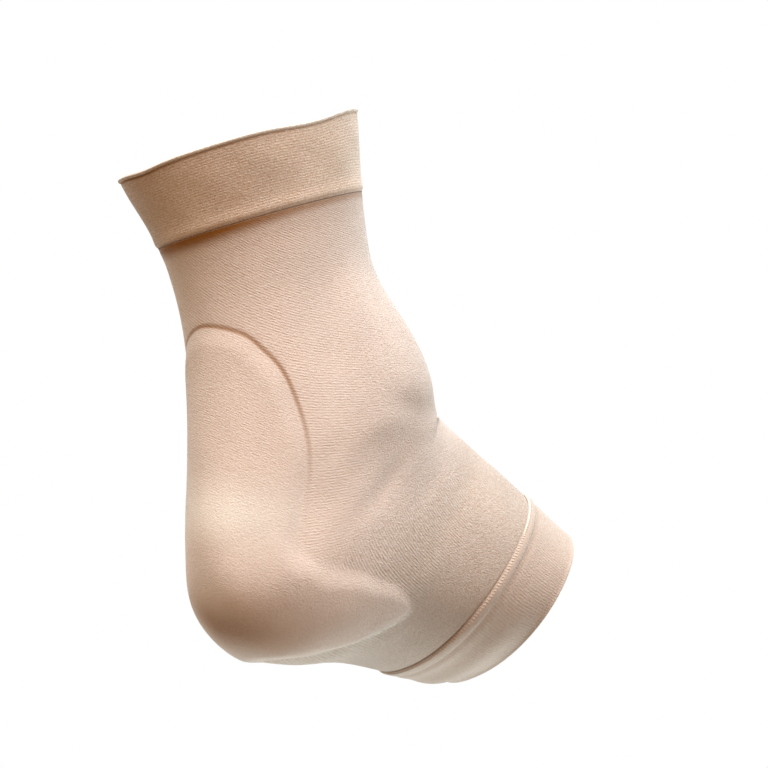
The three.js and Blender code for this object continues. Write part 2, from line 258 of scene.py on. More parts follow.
@dataclass(frozen=True)
class Form:
    """The worn form under the knit's outer face, in millimetres.

    A place is a section's number, 0 at the cuff's rim and 13 at the toe band's. An angle runs round it in
    degrees: 0 front, 90 outer, 180 back, 270 inner.
    """

    leg_lean: float = 21.0
    instep_slope: float = 35.0
    crease_ahead: float = 54.0
    crease_up: float = 23.0
    cuff_tall: float = 30.0
    leg_tall: float = 80.0
    instep_long: float = 53.5
    band_wide: float = 25.5
    bumps: tuple[Bump, ...] = (
        Bump(3.35, 0.75, 308, 28, 2.0),
        Bump(4.4, 0.8, 82, 24, 2.5),
        Bump(2.2, 0.7, 320, 40, -1.5),
        Bump(3.3, 1.1, 256, 15, -1.0),
        Bump(3.6, 1.1, 112, 15, -1.5),
        Bump(5.2, 1.0, 275, 16, -1.25),
    )

    def rows(self) -> np.ndarray:
        """Gives each section's values in millimetres and degrees, one row for each section."""
        return np.array([
            (
                part.up * self.leg_tall + part.cuff * self.cuff_tall,
                part.ahead * self.instep_long + part.band * self.band_wide,
                part.set_back * part.size.depth,
                part.tilt,
                part.depth * part.size.depth,
                part.inner * part.size.half,
                part.outer * part.size.half,
                part.shift * part.size.half,
                part.inner_level,
                part.outer_level,
                part.front,
                part.back,
                part.turn,
            )
            for part in SECTIONS
        ])

    def point(self, place: np.ndarray, angle: np.ndarray) -> np.ndarray:
        """Gives points of the smooth form.

        Each section is a flat ring of four rounded quarters |x|^p + |y|^p = 1, stretched to its reaches. Its
        front rides on the leg's or the instep's straight line, and the sections blend as smooth curves.

        Args:
            place: Section numbers.
            angle: Angles round the form, in degrees.

        Returns:
            The points in millimetres, along a new last axis.
        """
        place, angle = np.broadcast_arrays(np.asarray(place, float), np.asarray(angle, float))
        up, ahead, set_back, tilt, depth, inner, outer, shift, inner_level, outer_level, front, back, turn = (
            np.moveaxis(through_rows(self.rows(), place), -1, 0)
        )
        tilt, turn, lean, slope = (np.radians(x) for x in (tilt, turn, self.leg_lean, self.instep_slope))
        cosine, sine = np.cos(np.radians(angle)), np.sin(np.radians(angle))
        is_outer, is_front = sine >= 0, cosine >= 0
        side = np.where(is_outer, 1.0, -1.0)
        level = depth * np.where(is_outer, outer_level, inner_level)
        reach = np.where(is_front, level, depth - level)
        power = np.where(is_front, front, back)
        moved = np.where(is_front, -shift, 0.0)
        half = np.where(is_outer, outer, inner) - side * moved
        scale = (np.abs(cosine) ** power + np.abs(sine) ** power) ** (-1 / power)
        forward = -set_back - level + np.sign(cosine) * reach * np.abs(cosine) * scale
        across = side * half * np.abs(sine) * scale + moved
        swung = across * np.sin(turn)
        return np.stack([
            self.crease_ahead - np.sin(lean) * up + np.cos(slope) * ahead
            + forward * np.cos(tilt) + swung * np.sin(tilt),
            across * np.cos(turn),
            self.crease_up + np.cos(lean) * up - np.sin(slope) * ahead
            + forward * np.sin(tilt) - swung * np.cos(tilt),
        ], axis=-1)

    def normal(self, place: np.ndarray, angle: np.ndarray) -> np.ndarray:
        """Gives the form's outward unit vectors: the cross product of its slopes along and round."""
        nudge = 0.001
        along = self.point(place + nudge, angle) - self.point(place - nudge, angle)
        around = self.point(place, angle + nudge) - self.point(place, angle - nudge)
        out = np.cross(along, around)
        return out / np.linalg.norm(out, axis=-1, keepdims=True)

    def over(self, place: np.ndarray, angle: np.ndarray, height: np.ndarray) -> np.ndarray:
        """Gives points at a height over the form, in millimetres."""
        return self.point(place, angle) + self.normal(place, angle) * np.asarray(height)[..., None]

    def bump_height(self, place: np.ndarray, angle: np.ndarray) -> np.ndarray:
        """Adds up the bumps and hollows in millimetres, each a bell along and round the form."""
        total = np.zeros(np.broadcast(place, angle).shape)
        for bump in self.bumps:
            around = hump(from_front(angle - bump.angle), 0, bump.wide)
            total = total + bump.high * hump(place, bump.section, bump.spread) * around
        return total

    def round_length(self, place: float) -> float:
        """Measures once round the form at a place, in millimetres."""
        ring = self.point(np.full(361, float(place)), np.arange(361.0))
        return float(np.linalg.norm(np.diff(ring, axis=0), axis=1).sum())

    def band_place(self, along: np.ndarray) -> np.ndarray:
        """Gives the section numbers at distances in millimetres from the toe band's seam."""
        return BAND_SEAM + (BAND_RIM - BAND_SEAM) * along / self.band_wide


@dataclass(frozen=True)
class PadOutline:
    """Where the gel pad lies under the knit: a long U up the leg's back, wide and pointed under the heel.

    sides holds, from the pad's top down, the share of the way to its front edge and the half angle that it
    covers there. front_edge holds the section that it reaches at each half angle.
    """

    form: Form
    top: float = 2.36
    sides: tuple[tuple[float, float], ...] = (
        (0, 0), (0.035, 25), (0.085, 38), (0.15, 48), (0.3, 53), (0.42, 51), (0.5, 48.5), (0.58, 54),
        (0.66, 60.5), (0.8, 66), (1, 68),
    )
    front_edge: tuple[tuple[float, float], ...] = (
        (0, 7.3), (23, 7.6), (36, 8), (46, 8.7), (53, 8.88), (60, 8.52), (65, 8.1), (68, 7.55),
    )
    back_thick: float = 2.4
    heel_thick: float = 4.0
    shows: float = 0.45
    shows_less: float = 0.55
    border_wide: float = 7.5
    crisp_wide: float = 3.8
    pushed_out: float = 2.2

    def reach(self, half: np.ndarray) -> np.ndarray:
        """Gives the section where the pad ends at a half angle."""
        return np.interp(half, *np.array(self.front_edge).T)

    def down(self, place: np.ndarray, angle: np.ndarray) -> np.ndarray:
        """Gives the share of the way from the pad's top to its front edge."""
        return (place - self.top) / (self.reach(from_back(angle)) - self.top)

    def thickness(self, down: np.ndarray) -> np.ndarray:
        """Gives the pad's full thickness in millimetres: thin up the back, thick at the heel."""
        return self.back_thick + (self.heel_thick - self.back_thick) * smoothstep(down, 0.2, 0.7)

    def loop(self, each: int = 14) -> np.ndarray:
        """Follows the outline once round as a smooth curve through the two tables' points.

        Args:
            each: Points between two rows of the tables.

        Returns:
            Rows of place and half angle, negative on the outer side.
        """
        down, half = np.array(self.sides).T
        side = np.stack([self.top + down * (self.reach(half) - self.top), half], axis=1)
        front = np.array(self.front_edge)[::-1, ::-1][1:]
        inner = np.vstack([side, front])
        whole = np.vstack([inner, (inner * (1, -1))[-2:0:-1]])
        count = len(whole)
        wrapped = np.vstack([whole[-3:], whole, whole[:4]])
        return through_rows(wrapped, 3 + np.arange(count * each) / each)

    def distance(self, place: np.ndarray, angle: np.ndarray) -> np.ndarray:
        """Measures how far points of the form lie inside the pad's outline.

        The size is the straight distance to the two stretches of the outline at its nearest point, and the
        sign is positive where a ray across the chart of places and angles crosses it an odd number of times.

        Args:
            place: Section numbers.
            angle: Angles round the form, in degrees.

        Returns:
            Millimetres, positive inside and negative outside.
        """
        place, angle = np.broadcast_arrays(np.asarray(place, float), np.asarray(angle, float))
        loop = self.loop()
        marks = self.form.point(loop[:, 0], 180 + loop[:, 1])
        points = self.form.point(place, angle).reshape(-1, 3)
        signed = (angle % 360 - 180).ravel()
        row = place.ravel()
        after = np.roll(loop, -1, axis=0)
        found = np.empty(len(points))
        for part in np.array_split(np.arange(len(points)), max(1, len(points) // 6000)):
            near = ((points[part, None, :] - marks[None, :, :]) ** 2).sum(-1).argmin(1)
            size = np.full(len(part), np.inf)
            for first in (near - 1, near):
                start, span = marks[first], marks[(first + 1) % len(marks)] - marks[first]
                share = ((points[part] - start) * span).sum(-1) / (span**2).sum(-1)
                gap = points[part] - start - np.clip(share, 0, 1)[:, None] * span
                size = np.minimum(size, np.linalg.norm(gap, axis=-1))
            low, high = loop[None, :, 0], after[None, :, 0]
            spans = (low > row[part, None]) != (high > row[part, None])
            rise = np.where(spans, high - low, 1.0)
            meets = loop[None, :, 1] + (row[part, None] - low) / rise * (after - loop)[None, :, 1]
            inside = (spans & (meets > signed[part, None])).sum(1) % 2 == 1
            found[part] = np.where(inside, size, -size)
        return found.reshape(place.shape)

    def shown(self, place: np.ndarray, angle: np.ndarray) -> np.ndarray:
        """Gives how much of the pad shows: a share of its thickness, less at its two points."""
        shown = self.shows * (1 - self.shows_less * smoothstep(place, 6.8, 8.6))
        return shown * self.thickness(self.down(place, angle))

    def crisp(self, place: np.ndarray, angle: np.ndarray) -> np.ndarray:
        """Gives where the pad's border shows crisply: along its front edge, from the sole to its points."""
        half = from_back(angle)
        return smoothstep(place, 7.0, 7.8) * smoothstep(half, 26, 36) * smoothstep(half, 66, 56)

    def relief(self, place: np.ndarray, angle: np.ndarray, inside: np.ndarray) -> np.ndarray:
        """Gives how far the pad raises the knit, rising over its border by the distances inside it."""
        half = from_back(angle)
        wide = self.border_wide + (self.crisp_wide - self.border_wide) * self.crisp(place, angle)
        by_edge = smoothstep(place, 7.0, 7.8) * smoothstep(half, 58, 48) * smoothstep(half, 14, 24)
        by_notch = hump(place, 6.0, 0.4) * smoothstep(half, 44, 50)
        out = self.pushed_out * (by_edge + by_notch)
        return self.shown(place, angle) * smoothstep((inside + out) / wide, -0.1, 1)


@dataclass(frozen=True)
class ThreadLay:
    """How the knit's visible lines run over the worn form, seen along one axis from the inner rear.

    u and v are millimetres to the right and up across that axis. The leg's courses and the foot's wales are
    counted by polynomials, whose terms hold the powers of u and v over 50 mm and the lines that they add.
    The knit over the pad keeps one slant.
    """

    azimuth: float = -42.0
    elevation: float = -13.0
    course_terms: tuple[tuple[int, int, float], ...] = (
        (0, 1, 51.24), (0, 2, 1.39), (0, 3, 0.91), (1, 0, 1.57), (1, 1, 10.73), (1, 2, 2.18), (2, 0, -13.76),
        (2, 1, 6.01), (3, 0, 4.84),
    )
    wale_terms: tuple[tuple[int, int, float], ...] = (
        (0, 1, -8.9), (0, 2, -10.89), (1, 0, 78.0), (1, 1, 33.68), (2, 0, -4.95),
    )
    pad_slant: float = 22.0

    def axes(self) -> tuple[np.ndarray, np.ndarray, np.ndarray]:
        """Gives the unit vectors to the right, up and back along the axis."""
        turn, rise = np.radians(self.azimuth), np.radians(self.elevation)
        back = np.array([np.sin(turn) * np.cos(rise), -np.cos(turn) * np.cos(rise), np.sin(rise)])
        right = np.array([np.cos(turn), np.sin(turn), 0.0])
        return right, np.cross(back, right), back

    def spread(self, points: np.ndarray) -> tuple[np.ndarray, np.ndarray]:
        """Gives points' u and v in millimetres."""
        right, up, _ = self.axes()
        return points @ right, points @ up

    def count(self, points: np.ndarray, terms: Sequence[tuple[int, int, float]]) -> np.ndarray:
        """Counts the lines up to each point: the sum of the terms."""
        u, v = (part / 50 for part in self.spread(points))
        return sum(lines * u**first * v**second for first, second, lines in terms)

    def courses(self, points: np.ndarray) -> np.ndarray:
        """Gives each point's millimetres along the leg's courses and its count across them."""
        u, _ = self.spread(points)
        return np.stack([u, self.count(points, self.course_terms)], axis=-1)

    def wales(self, points: np.ndarray) -> np.ndarray:
        """Gives each point's millimetres along the foot's wales and its count across them."""
        u, v = self.spread(points)
        return np.stack([0.66 * u - 0.75 * v, self.count(points, self.wale_terms)], axis=-1)

    def pad_lines(self, points: np.ndarray) -> np.ndarray:
        """Gives each point's distances along, across and through straight lines that fall to the right."""
        u, v = self.spread(points)
        turn = np.radians(self.pad_slant)
        along, across = u * np.cos(turn) - v * np.sin(turn), u * np.sin(turn) + v * np.cos(turn)
        return np.stack([along, across, points @ self.axes()[2]], axis=-1)


Marks = dict[str, np.ndarray]
Tree = bpy.types.NodeTree
Node = bpy.types.Node
Socket = bpy.types.NodeSocket


def add_marks(mesh: bpy.types.Mesh, marks: Marks, corners: np.ndarray | None) -> None:
    """Stores values for the finishes on a mesh.

    Args:
        mesh: The mesh.
        marks: Arrays of one, two or three values, by attribute name.
        corners: For each corner of each face its row in the marks, or None where they go by vertex.
    """
    for name, values in marks.items():
        full = np.zeros((values.size // values.shape[-1], 3), np.float32)
        full[:, : values.shape[-1]] = values.reshape(len(full), -1)
        full = full if corners is None else full[corners.ravel()]
        made = mesh.attributes.new(name, "FLOAT_VECTOR", "POINT" if corners is None else "CORNER")
        made.data.foreach_set("vector", full.ravel())


def new_piece(
    name: str,
    points: np.ndarray,
    faces: np.ndarray,
    marks: Marks,
    material: bpy.types.Material,
    corners: np.ndarray | None = None,
) -> bpy.types.Object:
    """Makes a smooth-shaded piece from numpy arrays, in metres.

    Args:
        name: The piece's name.
        points: Vertices in millimetres.
        faces: Rows of vertex numbers, all three or all four long.
        marks: Values for the finish, one row a vertex, or one row for each number in corners.
        material: The piece's material.
        corners: Rows like faces, which number the marks' rows.

    Returns:
        The object, linked to the scene, at the origin.
    """
    mesh = bpy.data.meshes.new(name)
    mesh.from_pydata((points.reshape(-1, 3) * MM).tolist(), [], faces.tolist())
    mesh.polygons.foreach_set("use_smooth", np.ones(len(mesh.polygons), bool))
    add_marks(mesh, marks, corners)
    mesh.materials.append(material)
    mesh.update()
    piece = bpy.data.objects.new(name, mesh)
    bpy.context.scene.collection.objects.link(piece)
    return piece


def ring_faces(rings: int, columns: int, closed: bool = True, whole: bool = False) -> np.ndarray:
    """Joins rings of vertices to quads, each ring closed round.

    Args:
        rings: How many rings follow each other.
        columns: Vertices in each ring.
        closed: Whether the last ring joins the first, as on a wall with two faces.
        whole: Whether each ring's last column stands apart from its first, as in marks that run once round.

    Returns:
        Rows of four vertex numbers.
    """
    ring, column = np.meshgrid(np.arange(rings if closed else rings - 1), np.arange(columns), indexing="ij")
    wide = columns + 1 if whole else columns
    after, beside = (ring + 1) % rings, (column + 1) % wide
    corners = (ring * wide + column, after * wide + column, after * wide + beside, ring * wide + beside)
    return np.stack(corners, axis=-1).reshape(-1, 4)


def dress(piece: bpy.types.Object, node: str | None) -> bpy.types.Object:
    """Lets a piece ride on the body and stand for a node's solid if it has one."""
    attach(piece, "root")
    if node:
        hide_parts(node)
    log.info("%s: %d faces", piece.name, len(piece.data.polygons))
    return piece


def add_node(
    tree: Tree,
    kind: str,
    settings: Mapping[str | int, Any] | None = None,
    links: Mapping[str | int, Socket] | None = None,
) -> Node:
    """Adds a node with its settings and links.

    Args:
        tree: The node tree.
        kind: The node's type, without its ShaderNode start.
        settings: Values by property name, or by input name or number.
        links: Sockets by the name or number of the input that they feed.

    Returns:
        The node.
    """
    node = tree.nodes.new("ShaderNode" + kind)
    for key, value in (settings or {}).items():
        if isinstance(key, str) and hasattr(node, key):
            setattr(node, key, value)
        else:
            node.inputs[key].default_value = value
    for key, socket in (links or {}).items():
        tree.links.new(socket, node.inputs[key])
    return node


class KnitLay(Enum):
    """Which marks hold a knit's lines, its part of line_shares, and the lines in one unit across them."""

    COURSES = ("courses", "X", 1.0)
    WALES = ("wales", "Y", 1.0)
    OVER_PAD = ("pad_lines", "Z", 1.25)


def new_material(name: str) -> tuple[bpy.types.Material, Tree]:
    """Makes an empty material and gives it with its tree."""
    made = bpy.data.materials.new(name)
    made.use_nodes = True
    made.node_tree.nodes.clear()
    return made, made.node_tree


@dataclass(frozen=True)
class KnitFinish:
    """Fine elastic knit of nylon over rubber thread: matte, with a pale bloom where light grazes its loops.

    Its loops stand in lines about a millimetre apart, and the threads between them look darker and warmer.
    Stretched far, it goes paler and greyer.
    """

    name: str
    yarn: str
    between: str
    lays: tuple[KnitLay, ...]
    stretched: str = "#cfc1b3"
    # Painted light: a pale laid over the yarn as painted highlights on ridges and rims, and to lighten the
    # shadow at the knit's ends
    painted_light: str = "#fbf4ea"
    # Painted shade: a brown laid over the yarn in the pad's groove, under the cuff's hem, at seams and under
    # the heel
    painted_shade: str = "#9c6829"
    contrast: float = 0.5
    relief: float = 0.075
    groove_deep: float = 0.14
    crepe_size: tuple[float, float, float] = (1.0, 2.0, 1.5)

    def lines(self, tree: Tree, lay: KnitLay, drift: Socket) -> Socket:
        """Adds one lay's lines: a sine across them, bent by a drift, broken by a noise stretched along them.

        Args:
            tree: The material's tree.
            lay: The lay.
            drift: The slow noise that bends the lines.

        Returns:
            The lines' height, about -1 to 1.
        """
        source, _, per_unit = lay.value
        along = add_node(tree, "Attribute", {"attribute_name": source})
        part = add_node(tree, "SeparateXYZ", {}, {0: along.outputs["Vector"]})
        bent = add_node(tree, "Math", {"operation": "MULTIPLY_ADD", 1: 0.45},
                        {0: drift, 2: part.outputs["Y"]})
        turns = add_node(tree, "Math", {"operation": "MULTIPLY", 1: 2 * np.pi * per_unit},
                         {0: bent.outputs[0]})
        wave = add_node(tree, "Math", {"operation": "SINE"}, {0: turns.outputs[0]})
        # Strands of a line, 2 mm long and half a line wide
        scaled = add_node(tree, "VectorMath", {"operation": "MULTIPLY", 1: (0.5, 1.9, 0.0)},
                          {0: along.outputs["Vector"]})
        strands = add_node(tree, "TexNoise", {"noise_dimensions": "2D", "Scale": 1.0, "Detail": 2.0},
                           {"Vector": scaled.outputs[0]})
        broken = add_node(tree, "Math", {"operation": "MULTIPLY_ADD", 1: 3.2, 2: -1.6},
                          {0: strands.outputs["Fac"]})
        both = add_node(tree, "Math", {"operation": "MULTIPLY_ADD", 1: 0.6},
                        {0: wave.outputs[0], 2: broken.outputs[0]})
        return both.outputs[0]

    def pattern(self, tree: Tree, spot: Socket, shares: Node, crepe_share: Socket) -> Socket:
        """Adds the crepe and each lay's lines by their shares, and gives the pattern's height."""
        # Slow drift of the lines, about 9 mm wide
        drift = add_node(tree, "TexNoise", {"Scale": 110.0, "Detail": 1.0}, {"Vector": spot})
        # Crepe: short crossed threads, about 1 by 0.5 mm
        seen = add_node(tree, "Attribute", {"attribute_name": "pad_lines"})
        crossed = add_node(tree, "VectorMath", {"operation": "MULTIPLY", 1: self.crepe_size},
                           {0: seen.outputs["Vector"]})
        crepe = add_node(tree, "TexNoise",
                         {"Scale": 1.0, "Detail": 3.0, "Roughness": 0.62, "Distortion": 0.6},
                         {"Vector": crossed.outputs[0]})
        rough = add_node(tree, "Math", {"operation": "MULTIPLY_ADD", 1: 6.0, 2: -3.0},
                         {0: crepe.outputs["Fac"]})
        surface = add_node(tree, "Math", {"operation": "MULTIPLY"}, {0: rough.outputs[0], 1: crepe_share})
        for lay in self.lays:
            lines = self.lines(tree, lay, drift.outputs["Fac"])
            surface = add_node(tree, "Math", {"operation": "MULTIPLY_ADD"},
                               {0: lines, 1: shares.outputs[lay.value[1]], 2: surface.outputs[0]})
        return surface.outputs[0]

    def groove(self, tree: Tree, inside: Socket, share: Socket) -> Socket:
        """Adds the line pressed in round the pad: 0 to 0.85, about 1.5 mm wide, just outside its edge. It
        sinks the bump and also lays painted shade in the groove.
        """
        beside = add_node(tree, "Math", {"operation": "ADD", 1: 0.25}, {0: inside})
        off = add_node(tree, "Math", {"operation": "ABSOLUTE"}, {0: beside.outputs[0]})
        line = add_node(tree, "MapRange",
                        {"interpolation_type": "SMOOTHSTEP", 1: 1.45, 2: 0.1, 3: 0.0, 4: 0.85},
                        {0: off.outputs[0]})
        pressed = add_node(tree, "Math", {"operation": "MULTIPLY"}, {0: line.outputs[0], 1: share})
        return pressed.outputs[0]

    def colour(self, tree: Tree, spot: Socket, surface: Socket, tones: Node, painted_shade: Socket) -> Socket:
        """Lays the stretched tone, the painted light and the painted shade over the yarn, then wide blotches
        and the pattern's shade.

        Args:
            tree: The material's tree.
            spot: The point in the object's own coordinates.
            surface: The pattern's height.
            tones: The node with the painted light's and the stretched tone's shares.
            painted_shade: The painted shade's share.

        Returns:
            The colour.
        """
        over = ((self.stretched, tones.outputs["Z"]), (self.painted_light, tones.outputs["Y"]), (self.painted_shade, painted_shade))
        colour = None
        for hue, share in over:
            under = {6: colour.outputs[2]} if colour else {}
            colour = add_node(tree, "Mix", {"data_type": "RGBA", 6: linear(self.yarn), 7: linear(hue)},
                              {0: share, **under})
        # Blotches, 25 mm wide
        blotch = add_node(tree, "TexNoise", {"Scale": 40.0, "Detail": 2.0}, {"Vector": spot})
        tone = add_node(tree, "MapRange", {1: 0.3, 2: 0.7, 3: 0.94, 4: 1.04}, {0: blotch.outputs["Fac"]})
        colour = add_node(tree, "Mix", {"data_type": "RGBA", "blend_type": "MULTIPLY", 0: 1.0},
                          {6: colour.outputs[2], 7: tone.outputs[0]})
        open_knit = add_node(tree, "Math", {"operation": "MULTIPLY_ADD", 1: -0.2, 2: 0.42},
                             {0: tones.outputs["Y"]})
        depth = add_node(tree, "Math",
                         {"operation": "MULTIPLY_ADD", 1: -0.5 * self.contrast, "use_clamp": True},
                         {0: surface, 2: open_knit.outputs[0]})
        colour = add_node(tree, "Mix",
                          {"data_type": "RGBA", "blend_type": "MULTIPLY", 7: linear(self.between)},
                          {0: depth.outputs[0], 6: colour.outputs[2]})
        return colour.outputs[2]

    def material(self) -> bpy.types.Material:
        """Builds the knit's material: the pattern, the pad's groove and the colours over a matte shader."""
        made, tree = new_material(self.name)
        spot = add_node(tree, "TexCoord").outputs["Object"]
        shares, edges, tones = (
            add_node(tree, "SeparateXYZ", {},
                     {0: add_node(tree, "Attribute", {"attribute_name": name}).outputs["Vector"]})
            for name in ("line_shares", "edges", "tones")
        )
        surface = self.pattern(tree, spot, shares, edges.outputs["Z"])
        groove = self.groove(tree, edges.outputs["X"], tones.outputs["X"])
        # The painted shade's share: the pad's groove, and the painted shade marks on the piece
        painted_shade = add_node(tree, "Math", {"operation": "MAXIMUM"}, {0: groove, 1: edges.outputs["Y"]})
        colour = self.colour(tree, spot, surface, tones, painted_shade.outputs[0])
        raised = add_node(tree, "Math", {"operation": "MULTIPLY", 1: self.relief}, {0: surface})
        height = add_node(tree, "Math", {"operation": "MULTIPLY_ADD", 1: -self.groove_deep},
                          {0: groove, 2: raised.outputs[0]})
        bump = add_node(tree, "Bump", {"Strength": 1.0, "Distance": MM}, {"Height": height.outputs[0]})
        shader = add_node(
            tree, "BsdfPrincipled",
            {"Roughness": 0.92, "Specular IOR Level": 0.2, "Sheen Weight": 0.4, "Sheen Roughness": 0.35,
             "Sheen Tint": linear("#ffffff")},
            {"Base Color": colour, "Normal": bump.outputs[0]},
        )
        add_node(tree, "OutputMaterial", {}, {"Surface": shader.outputs[0]})
        return made


@dataclass(frozen=True)
class GelFinish:
    """Moulded mineral-oil gel: soft, clear amber with light that sinks in, and a satin skin."""

    name: str = "moulded_gel"
    colour: str = "#f0ddb8"
    cloudy: str = "#f7ecd3"

    def material(self) -> bpy.types.Material:
        """Builds the gel's material, with faint cloudy streaks and the knit's print on it."""
        made, tree = new_material(self.name)
        spot = add_node(tree, "TexCoord").outputs["Object"]
        cloud = add_node(tree, "TexNoise", {"Scale": 60.0, "Detail": 3.0}, {"Vector": spot})
        colour = add_node(tree, "Mix", {"data_type": "RGBA", 6: linear(self.colour), 7: linear(self.cloudy)},
                          {0: cloud.outputs["Fac"]})
        printed = add_node(tree, "TexNoise", {"Scale": 700.0, "Detail": 1.0}, {"Vector": spot})
        bump = add_node(tree, "Bump", {"Strength": 0.4, "Distance": 0.05 * MM},
                        {"Height": printed.outputs["Fac"]})
        shader = add_node(
            tree, "BsdfPrincipled",
            {"Roughness": 0.32, "IOR": 1.41, "Subsurface Weight": 0.4, "Subsurface Scale": 0.004,
             "Subsurface Radius": (1.0, 0.6, 0.3)},
            {"Base Color": colour.outputs[2], "Normal": bump.outputs[0]},
        )
        add_node(tree, "OutputMaterial", {}, {"Surface": shader.outputs[0]})
        return made


@dataclass(frozen=True)
class ThreadFinish:
    """Twisted polyester sewing thread: pale, a little shiny along its twist."""

    name: str = "sewing_thread"
    colour: str = "#f3e9dd"
    twisted: str = "#cdb9a6"

    def material(self) -> bpy.types.Material:
        """Builds the thread's material, with its twist as fine darker bands."""
        made, tree = new_material(self.name)
        spot = add_node(tree, "TexCoord").outputs["Object"]
        twist = add_node(tree, "TexNoise", {"Scale": 1800.0, "Detail": 1.0}, {"Vector": spot})
        colour = add_node(tree, "Mix", {"data_type": "RGBA", 6: linear(self.colour), 7: linear(self.twisted)},
                          {0: twist.outputs["Fac"]})
        shader = add_node(tree, "BsdfPrincipled", {"Roughness": 0.6, "Sheen Weight": 0.2},
                          {"Base Color": colour.outputs[2]})
        add_node(tree, "OutputMaterial", {}, {"Surface": shader.outputs[0]})
        return made


@dataclass(frozen=True)
class Zones:
    """The zones of the body's knit, as a share from 0 to 1 at each vertex, and its u and v in millimetres."""

    right: np.ndarray
    up: np.ndarray
    on_foot: np.ndarray
    over_pad: np.ndarray
    under_heel: np.ndarray
    in_front: np.ndarray
    by_band: np.ndarray
    loose: np.ndarray


@dataclass(frozen=True)
class Patch:
    """A soft oval patch of tone, used for painted shade and painted highlights: its middle to the right and
    up, half sizes, share and slope.

    The middle and the sizes are in millimetres, seen along the thread lay's axis.
    """

    right: float
    up: float
    wide: float
    tall: float
    share: float
    slope: float = 0.0

    def share_at(self, zones: Zones) -> np.ndarray:
        """Gives the patch's share at each vertex: one bell across it and one up it."""
        off = zones.right - self.right
        return self.share * hump(off, 0, self.wide) * hump(zones.up + self.slope * off, self.up, self.tall)


